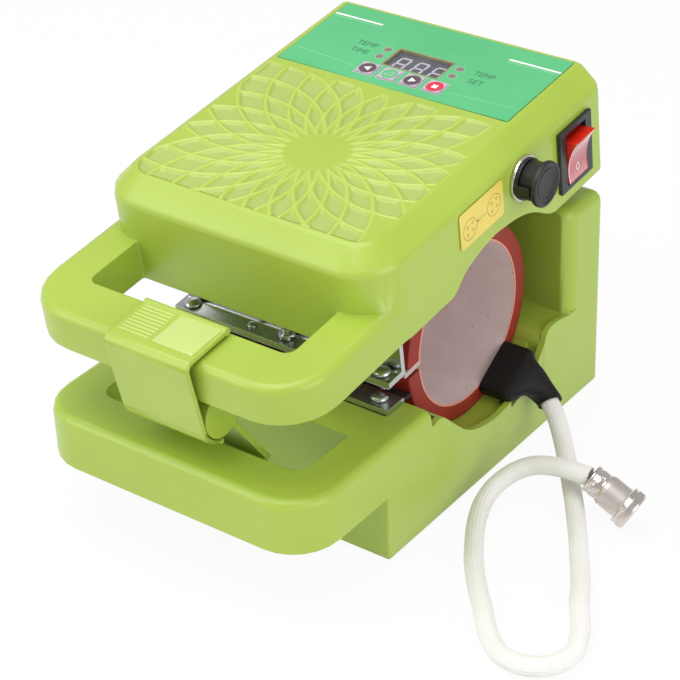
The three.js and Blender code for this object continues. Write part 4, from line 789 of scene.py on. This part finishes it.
def wordShell(text, x0, x1, y0, y1, low, high):
    # the plain built-in letters made a mesh and stretched to their box on the panel
    curve = bpy.data.curves.new(text, "FONT")
    curve.body, curve.extrude, curve.resolution_u = text, 0.5, 3
    holder = linked(text, curve)
    mesh = bpy.data.meshes.new_from_object(holder.evaluated_get(bpy.context.evaluated_depsgraph_get()))
    points = np.zeros(len(mesh.vertices) * 3)
    mesh.vertices.foreach_get("co", points)
    points = points.reshape(-1, 3)
    faces = [tuple(face.vertices) for face in mesh.polygons]
    least, most = points.min(0), points.max(0)
    corner, reach = np.array([x0, y0, low]), np.array([x1 - x0, y1 - y0, high - low])
    points = corner + (points - least) / (most - least) * reach
    bpy.data.objects.remove(holder)
    bpy.data.meshes.remove(mesh)
    return points, faces


def digitShells(middle):
    # the seven bars of a figure, leaning by the slant and cut off where the window ends
    look = panelPrint
    x0, x1 = middle - look["digitWide"] / 2, middle + look["digitWide"] / 2
    y0, half, high = look["digitLow"], look["stroke"] / 2, look["digitHigh"]
    gap = half * look["barGap"]
    bars = [(x0 + half, x1 - half, y - half, y + half) for y in (y0 + half, y0 + high / 2, y0 + high - half)]
    bars += [(x - half, x + half, y + gap, y + high / 2 - gap)
             for x in (x0 + half, x1 - half) for y in (y0 + half / 2, y0 + high / 2 - half / 2)]
    shells = []
    for bar in bars:
        outline = rect(*bar)
        outline[:, 0] += look["slant"] * (outline[:, 1] - y0)
        outline = np.clip(outline, *look["sight"])
        if np.ptp(outline, axis=0).min() > look["leastBar"]:
            shells.append(prism(outline, look["glass"] - look["sink"], look["glass"] + look["ink"]))
    return shells


def makePanelPrint():
    # bars, lines and words on the film, the window's rim and figures, and frames round the keys and lamps
    look = panelPrint
    low, high = look["top"] - look["sink"], look["top"] + look["ink"]

    def stripes(drop, half, corner):
        return [prism(roundRect(a, b, y - drop - half, y - drop + half, corner), low, high)
                for a, b, y in look["bars"]]

    onPanel("panelBars", stripes(0, look["barHalf"], look["barCorner"]), whiteInk)
    half, (drop, thin) = look["lineHalf"], look["second"]
    slants = [prism(np.array([(x0, y0 - half), (x1, y1 - half), (x1, y1 + half), (x0, y0 + half)]), low, high)
              for x0, y0, x1, y1 in look["lines"]]
    onPanel("panelLines", slants + stripes(drop, thin, thin * 0.9), lineInk)
    onPanel("panelWords", [wordShell(*word, low, high) for word in look["words"]], wordInk)
    (x0, x1, y0, y1), (out, into) = look["window"], look["frame"]
    outlines = [roundRect(x0 - s, x1 + s, y0 - s, y1 + s, abs(s)) for s in (out, -into)]
    onPanel("windowRim", [band(*outlines, look["glass"] - look["frameDeep"], high)], rimTan)
    onPanel("windowDigits", [shell for middle in look["digits"] for shell in digitShells(middle)], paleInk,
            slot="dark_acrylic_window")
    pads = [band(*(roundSquare(x, look["keyY"], *look[part]) for part in ("pad", "cap")), low, high)
            for x in look["keys"]]
    reach = look["lamp"] + look["lampRim"]
    rings = [ovalRing(x, y, reach, reach, look["lampRim"], low, high) for x, y in look["lamps"]]
    onPanel("keyPads", pads + rings, paleInk)


# the outlines of each key's sign about the key's middle
keySigns = (
    ([(-2.1, 0), (1.3, 1.9), (1.3, -1.9)],),
    (rect(-1.4, 1.9, -1.1, -0.6), rect(1.4, 1.9, -0.6, 1.2), rect(-0.4, 1.9, 1.2, 1.7),
     [(-2.5, -0.85), (-1.4, -1.9), (-1.4, 0.2)]),
    ([(2.1, 0), (-1.3, 1.9), (-1.3, -1.9)],),
    (roundSquare(0, 0, 1.35, 0.2),),
)


def makeKeyFaces():
    # a disc on each key with its sign on it: left, back, right and stop
    look = panelPrint
    y, reach, low = look["keyY"], look["disc"], look["keyTop"] - look["sink"]
    signLow, signHigh = (low + up for up in look["signs"])
    for index, (x, outlines) in enumerate(zip(look["keys"], keySigns), 1):
        body, ringed = "key_%d" % index, index == 2
        disc = prism(ellipse(x, y, reach, reach), low, low + look["discHigh"])
        onPanel("keyDisc%d" % index, [disc], None, body, slotOf[body])
        signs = [ovalRing(x, y, reach, reach, look["signRim"], low, signHigh)] if ringed else []
        signs += [prism(np.array(line) + (x, y), signLow, signHigh) for line in outlines]
        onPanel("keySign%d" % index, signs, paleInk if ringed else whiteInk, body, slotOf[body])


rocker = {
    "tip": (83.2, 150.5), "bend": (75.9, 140.1), "toe": (78.3, 127.65), "heel": (67.15, 132.8),
    "top": (70.4, 149.4), "front": 200.35, "rear": 216.25, "edge": 0.35, "deep": 0.12,
    "face": (0.05, 0.985, 0.5, 0.05), "line": (0.03, 0.99, 0.35, 0.75, 0.1),
    "zero": (208.3, 133.2, 1.35, 1.95, 0.38), "zeroHigh": (-0.1, 0.12),
}


def rockerFront(t):
    # (1 - t)^2 tip + 2 t (1 - t) bend + t^2 toe
    t = np.asarray(t, float)[:, None]
    return ((1 - t) ** 2 * np.array(rocker["tip"]) + 2 * t * (1 - t) * np.array(rocker["bend"])
            + t ** 2 * np.array(rocker["toe"]))


def atY(line, y, out=0.0):
    # flat points (x, z) moved out along x and given one y
    return np.column_stack([line[:, 0] + out, np.full(len(line), y), line[:, 1]])


def rockerStrip(start, end, y0, y1, proud):
    # a thin plate that follows the front's curve between two y
    t = np.linspace(start, end, 24)
    line, deep = rockerFront(t), -rocker["deep"]
    rings = [atY(line, y, out) for out, y in ((proud, y0), (proud, y1), (deep, y1), (deep, y0))]
    return closedLoft(np.stack(rings, 1)), np.repeat(t, 4)


def makeRocker():
    # the front's curve closed over heel and top, carried from side to side with its two ends drawn in
    front, rear, edge = rocker["front"], rocker["rear"], rocker["edge"]
    profile = np.vstack([rockerFront(np.linspace(0, 1, 20)), rocker["heel"], rocker["top"]])
    small = profile - edge * unit(profile - profile.mean(0))
    rings = [atY(small, front), atY(profile, front + edge), atY(profile, rear - edge), atY(small, rear)]
    putMesh("rockerKey", closedLoft(rings), "rocker", "rocker_key", smooth=25)
    start, end, inset, proud = rocker["face"]
    shell, t = rockerStrip(start, end, front + inset, rear - inset, proud)
    putMesh("rockerFace", shell, "rocker", slot="red_polycarbonate", material=rockerPink,
            uv=np.column_stack([t, t]))
    start, end, near, far, proud = rocker["line"]
    strip, _ = rockerStrip(start, end, front + near, front + far, proud)
    ring, faces = ovalRing(*rocker["zero"], *rocker["zeroHigh"])
    curve = rockerFront(np.linspace(1, 0, 60))
    out = np.interp(ring[:, 1], curve[:, 1], curve[:, 0]) + ring[:, 2]
    zero = np.column_stack([out, ring[:, 0], ring[:, 1]])
    marks = joined(strip, (zero, faces))
    putMesh("rockerMarks", marks, "rocker", slot="red_polycarbonate", material=whiteInk)


socket = {
    "y": 166.7, "z": 150.517, "sides": 96,
    "cap": ((0.03, 85.0), (7.72, 85.0), (7.72, 79.3), (8.8, 79.25), (9.0, 79.5), (9.0, 85.2), (9.25, 85.6),
            (10.0, 85.8), (10.4, 86.15), (10.5, 86.7), (10.5, 87.8), (10.35, 88.25), (10.0, 88.45),
            (9.0, 88.45), (8.6, 88.3), (8.3, 88.0), (7.9, 87.95), (7.5, 88.0), (7.2, 88.3), (6.9, 88.38),
            (6.6, 88.3), (6.3, 88.0), (6.0, 87.95), (0.03, 87.95)),
    "ring": ((7.45, 75.85), (10.35, 75.85), (10.45, 76.2), (10.45, 76.9), (10.25, 77.3), (9.8, 77.45),
             (7.45, 77.45)),
}


def makeSocket():
    # the dust cap and the ring round the socket, turned about a line along x
    where = (0.0, socket["y"], socket["z"]), (1, 0, 0), socket["sides"]
    putMesh("dustCap", closedTurn(socket["cap"], *where), "dust_cap", "dust_cap")
    putMesh("socketRing", closedTurn(socket["ring"], *where, hollow=True), "lid", slot="nickel_plated_brass",
            material=brightNickel)


def sector(inner, outer, x0, x1, corner, start, end, middle, steps=90):
    # a rounded rectangle of radii and x carried round the bore's axis: y = r cos a, z = r sin a
    outline = roundRect(inner, outer, x0, x1, corner, 4)
    angle = np.radians(np.linspace(start, end, steps))[:, None]
    r, x = outline[None, :, 0], outline[None, :, 1]
    y, z = middle[0] + r * np.cos(angle), middle[1] + r * np.sin(angle)
    return closedLoft(np.stack([np.broadcast_to(x, y.shape), y, z], -1))


wrapLook = {
    "seam": 0.02, "upperEnd": 182.0, "lowerEnd": -174.5, "overlap": 0.02, "corner": 0.6, "thinCorner": 0.1,
    "edge": (0.03, 0.15, 0.3, 0.14), "tailCorner": 0.5,
    "upperTail": ((90.4, 102.5, 85.3, 87.9, 59.58), (79.2, 91.0, 86.5, 87.9, 58.3)),
    "lowerTail": ((78.6, 100.5, 58.3, 59.85, 59.2),),
}


def makeWrap():
    # each half: silicone, liner, the liner's turned edge at both ends, and the flat tongues at its lips
    look = wrapLook
    half, inner, skin, outer = (wrapAxis[key] for key in ("half", "inner", "liner", "outer"))
    seam, fine, (under, over, back, proud) = look["seam"], look["thinCorner"], look["edge"]
    middle = wrapAxis["y"], wrapAxis["z"]
    halves = (
        ("wrapUpper", "wrap_upper", "lid", lidPoint(*middle), seam - lid["tilt"],
         look["upperEnd"] - lid["tilt"], look["upperTail"], tongueCloth),
        # the lower half's tongues take the cloth painted as shade
        ("wrapLower", "wrap_lower", "base", middle, look["lowerEnd"], -seam, look["lowerTail"], paintedShadeCloth))
    for name, node, body, centre, start, end, tail, cloth in halves:
        way = start, end, centre
        silicone = sector(inner + skin - look["overlap"], outer, -half, half, look["corner"], *way)
        putMesh(name, silicone, body, node)
        putMesh(name + "Liner", sector(inner, inner + skin, -half, half, fine, *way), body, node + "_liner")
        edges = [sector(inner - under, inner + skin + over, x - back, x + proud, fine, *way)
                 for x in (-half, half)]
        putMesh(name + "Edge", joined(*edges), body, slot="coated_liner_cloth", material=salmonEdge)
        strips = [onSide(prism(roundRect(*box, look["tailCorner"]), -reach, reach)) for *box, reach in tail]
        putMesh(name + "Tail", joined(*strips), body, slot="coated_liner_cloth", material=cloth, smooth=30)


strapLook = {
    "top": 145.3, "ribs": 9, "ribFrom": 1.6, "ribStep": 2.15, "ribX": (-17.6, -1.2), "ribHalf": 0.5,
    "ribSteps": ((0, -0.05), (0.05, 0.12), (0.25, 0.2)), "leastCorner": 0.02, "cornerShare": 0.98,
    "pad": (1.2, 22.6, 0.4, 20.2), "padSteps": ((0, -0.05), (0.03, 0.3), (0.3, 0.42)), "padCorner": 0.8,
}


def risen(x0, x1, y0, y1, steps):
    # a plate whose outline is s smaller at each next height
    return closedLoft([atHeight(roundRect(x0 + s, x1 - s, y0 + s, y1 - s, corner), z)
                       for s, z, corner in steps])


def makeStrap():
    # fine ribs on the left half of the strap's flat top and a smooth raised pad on the right
    look = strapLook
    top, half = look["top"], look["ribHalf"]
    steps = [(s, top + up, max(half - s, look["leastCorner"]) * look["cornerShare"])
             for s, up in look["ribSteps"]]
    ribs = [risen(*look["ribX"], y - half, y + half, steps)
            for y in look["ribFrom"] + look["ribStep"] * np.arange(look["ribs"])]
    pad = risen(*look["pad"], [(s, top + up, look["padCorner"]) for s, up in look["padSteps"]])
    # ribs and pad in the lime painted lighter as a highlight
    putMesh("strapRelief", joined(*ribs, pad), "latch_lever", slot="lime_abs", material=limePaintedHighlight, smooth=50)


labelLook = {
    "face": 76.2, "thick": 0.4, "print": (0.02, 0.03), "box": (116.9, 150.2, 141.72, 159.42), "corner": 1.7,
    "circles": ((124.2, 149.4), (142.9, 150.6)), "circle": 5.2, "stroke": 0.22,
    "pins": ((-2.0, 1.7), (2.1, 2.3), (-1.8, -2.3), (2.2, -1.5)), "pin": 0.75,
    "dashes": ((131.4, 132.9), (133.6, 135.1), (135.8, 136.9)), "dashHalf": 0.14,
    "arrow": ((129.3, 150.0), (130.9, 150.8), (130.9, 149.2)),
}


def makeLabel():
    # a thin plate with two round signs of four small rings each, and a dashed arrow between them
    look = labelLook
    face = look["face"]
    low, high = face - look["print"][0], face + look["print"][1]
    plate = prism(roundRect(*look["box"], look["corner"]), face - look["thick"], face)
    putMesh("sideLabel", onSide(plate), "lid", "side_label", smooth=30)
    marks = []
    for y, z in look["circles"]:
        rounds = [(y, z, look["circle"])] + [(y + a, z + b, look["pin"]) for a, b in look["pins"]]
        marks += [ovalRing(a, b, r, r, look["stroke"], low, high) for a, b, r in rounds]
    z, half = look["arrow"][0][1], look["dashHalf"]
    outlines = [np.array(look["arrow"])] + [rect(a, b, z - half, z + half) for a, b in look["dashes"]]
    marks += [prism(outline, low, high) for outline in outlines]
    slot = slotOf["side_label"]
    putMesh("labelMarks", onSide(joined(*marks)), "lid", slot=slot, material=labelInk, smooth=30)


plug = {
    "start": (129.6, 136.3, 20.6), "end": (151.6, 138.0, 8.5), "sides": 96, "ribs": 64, "ringSides": 256,
    "nut": ((0.03, 3.1), (5.25, 3.1), (5.35, 0.8), (5.6, 0.4), (6.0, 0.3), (6.4, 0.5), (6.58, 0.9),
            (6.6, 2.2), (6.25, 2.6), (6.25, 3.1), (6.6, 3.5), (6.6, 7.0), (6.45, 7.3), (0.03, 7.3)),
    "body": ((0.03, 7.5), (6.5, 7.5), (6.75, 7.75), (6.85, 8.3), (7.15, 8.7), (7.35, 9.0), (7.4, 9.5),
             (7.4, 18.38), (0.03, 18.38)),
    "ring": ((7.75, 18.7), (8.6, 18.7), (9.1, 18.95), (9.3, 19.4), (9.3, 19.9), (8.95, 20.3), (8.95, 20.8),
             (9.15, 21.1), (9.18, 21.3, 0.1), (9.18, 23.8, 0.1), (9.15, 24.0), (9.0, 24.6), (8.6, 25.05),
             (7.75, 25.05)),
    "screw": ((0.03, -0.6), (1.15, -0.6), (1.15, 0.1), (0.9, 0.3), (0.5, 0.2), (0.03, 0.05)),
    "screwAt": 5.2, "screwOut": 6.6, "screwSides": 20, "screwTurns": (20, 100, 200, 280),
}


def makePlug():
    # nut, body and ribbed ring turned about the plug's axis, and small screws round the nut
    start, sides = np.array(plug["start"]), plug["sides"]
    axis = unit(np.array(plug["end"]) - start)
    level = unit(np.cross([0.0, 0.0, 1.0], axis))
    up = np.cross(axis, level)
    nut = [closedTurn(plug["nut"], start, axis, sides)]
    for turn in np.radians(plug["screwTurns"]):
        out = -math.sin(turn) * level + math.cos(turn) * up
        foot = start + plug["screwAt"] * axis + plug["screwOut"] * out
        nut.append(closedTurn(plug["screw"], foot, out, plug["screwSides"]))
    ring = closedTurn(plug["ring"], start, axis, plug["ringSides"], True, plug["ribs"])
    rows = (("plugNut", joined(*nut), "plug_clamp_nut", brightNickel),
            ("plugBody", closedTurn(plug["body"], start, axis, sides), "plug_body", nickelSatin),
            ("plugRing", ring, "plug_coupling_ring", brightNickel))
    return [putMesh(name, shell, "base", node, material=metal, smooth=50)
            for name, shell, node, metal in rows]


boot = {
    "lean": -1.029744, "half": 13.5, "ring": 64, "gap": 0.3, "lip": 1.7, "hole": 5.0, "deep": 3,
    "turn": (0.5, 0.3), "end": (0.75, 0.25),
    "stations": ((0, 0.4409, -0.7321, 1, 0.326, 5), (0.3, 0.4409, -0.7321, 1, 0.335, 5),
                 (0.48, 0.4409, -0.7321, 1, 0.345, 4.6), (0.55, 0.446, -0.735, 0.96, 0.35, 4),
                 (0.6, 0.462, -0.742, 0.85, 0.36, 3.4), (0.66, 0.49, -0.765, 0.67, 0.385, 2.9),
                 (0.74, 0.525, -0.82, 0.545, 0.41, 2.4), (0.86, 0.547, -0.9, 0.465, 0.43, 2.1),
                 (1, 0.5527, -0.9726, 0.437, 0.437, 2)),
}
notchFill = {"y": (155.4, 185.2), "low": 21.0, "edge": 47.72, "x": (72.4, 75.47), "steps": 28}


def makeNotchFill():
    # the side wall closes round the boot up to the trough's own arc, z = middle - sqrt(r^2 - (y - middle)^2)
    y = np.linspace(*notchFill["y"], notchFill["steps"])
    z = wrapAxis["z"] - np.sqrt(notchFill["edge"] ** 2 - (y - wrapAxis["y"]) ** 2)
    outline = np.vstack([np.column_stack([y, z]), [(y[-1], notchFill["low"]), (y[0], notchFill["low"])]])
    putMesh("notchFill", onSide(prism(outline, *notchFill["x"])), "base", slot="lime_abs", material=limeFlat,
            smooth=30)


def makeBoot():
    # rounded sections |cos a|^(2/n), |sin a|^(2/n) carried from the wrap's end to the mouth, then the lip
    start, mouth = wrapAxis["half"] + boot["gap"], np.array(cord["path"][0])
    onward = unit(np.array(cord["path"][1]) - mouth)
    rows = smoothPath(np.array(boot["stations"], float), 6)
    outer = wrapAxis["outer"]
    centre = np.column_stack([start + rows[:, 0] * (mouth[0] - start), wrapAxis["y"] + rows[:, 1] * outer,
                              wrapAxis["z"] + rows[:, 2] * outer])
    tangent = unit(np.gradient(centre, axis=0))
    turn, end = (smoothStep((rows[:, :1] - first) / over) for first, over in (boot["turn"], boot["end"]))
    tangent = (1 - turn) * np.array([1.0, 0.0, 0.0]) + turn * tangent
    tangent = (1 - end) * tangent + end * onward
    lip = [centre[-1] + out * onward for out in (boot["lip"], boot["lip"], -boot["deep"])]
    centre = np.vstack([centre, lip])
    tangent = unit(np.vstack([tangent, onward, onward, onward]))
    rows = np.vstack([rows] + [rows[-1:]] * 3)
    reach = rows[:, 3:5] * boot["half"]
    reach[-2:] = boot["hole"]
    wide = np.array([0.0, -math.sin(boot["lean"]), math.cos(boot["lean"])])
    u = unit(wide - (tangent @ wide)[:, None] * tangent)
    v = np.cross(tangent, u)
    angle, power = roundAngles(boot["ring"]), 2 / rows[:, 5:6]
    across, along = (reach[:, i:i + 1] * np.sign(part) * np.abs(part) ** power
                     for i, part in enumerate((np.cos(angle), np.sin(angle))))
    rings = centre[:, None] + across[..., None] * u[:, None] + along[..., None] * v[:, None]
    putMesh("cableBoot", closedLoft(rings), "base", "cable_boot", material=bootRubber, smooth=50)


made = {
    "heater_cable", "rocker_key", "dust_cap", "wrap_upper", "wrap_lower", "wrap_upper_liner",
    "wrap_lower_liner", "side_label", "cable_boot", "plug_clamp_nut", "plug_body", "plug_coupling_ring",
}
ownFinish = dict.fromkeys(("key_1", "key_2", "key_3", "key_4"), paleInk)
for name in nodes:
    if name not in made:
        housing = name in ("base_housing", "lid_housing")
        mergedCopy(name, ownFinish.get(name, finish[slotOf[name]]), 0.3 if housing else 0.0)
print("nodes carried over")
makeRosette(bpy.data.objects["lid_housingSmooth"])
print("rosette made")
makePanelPrint()
makeKeyFaces()
makeRocker()
makeSocket()
makeLabel()
print("controls and label made")
makeWrap()
makeStrap()
makeNotchFill()
makeBoot()
print("wrap, strap and boot made")
makeCord(makePlug() + [bpy.data.objects["plug_pin_insertSmooth"]])
print("cord and plug made")
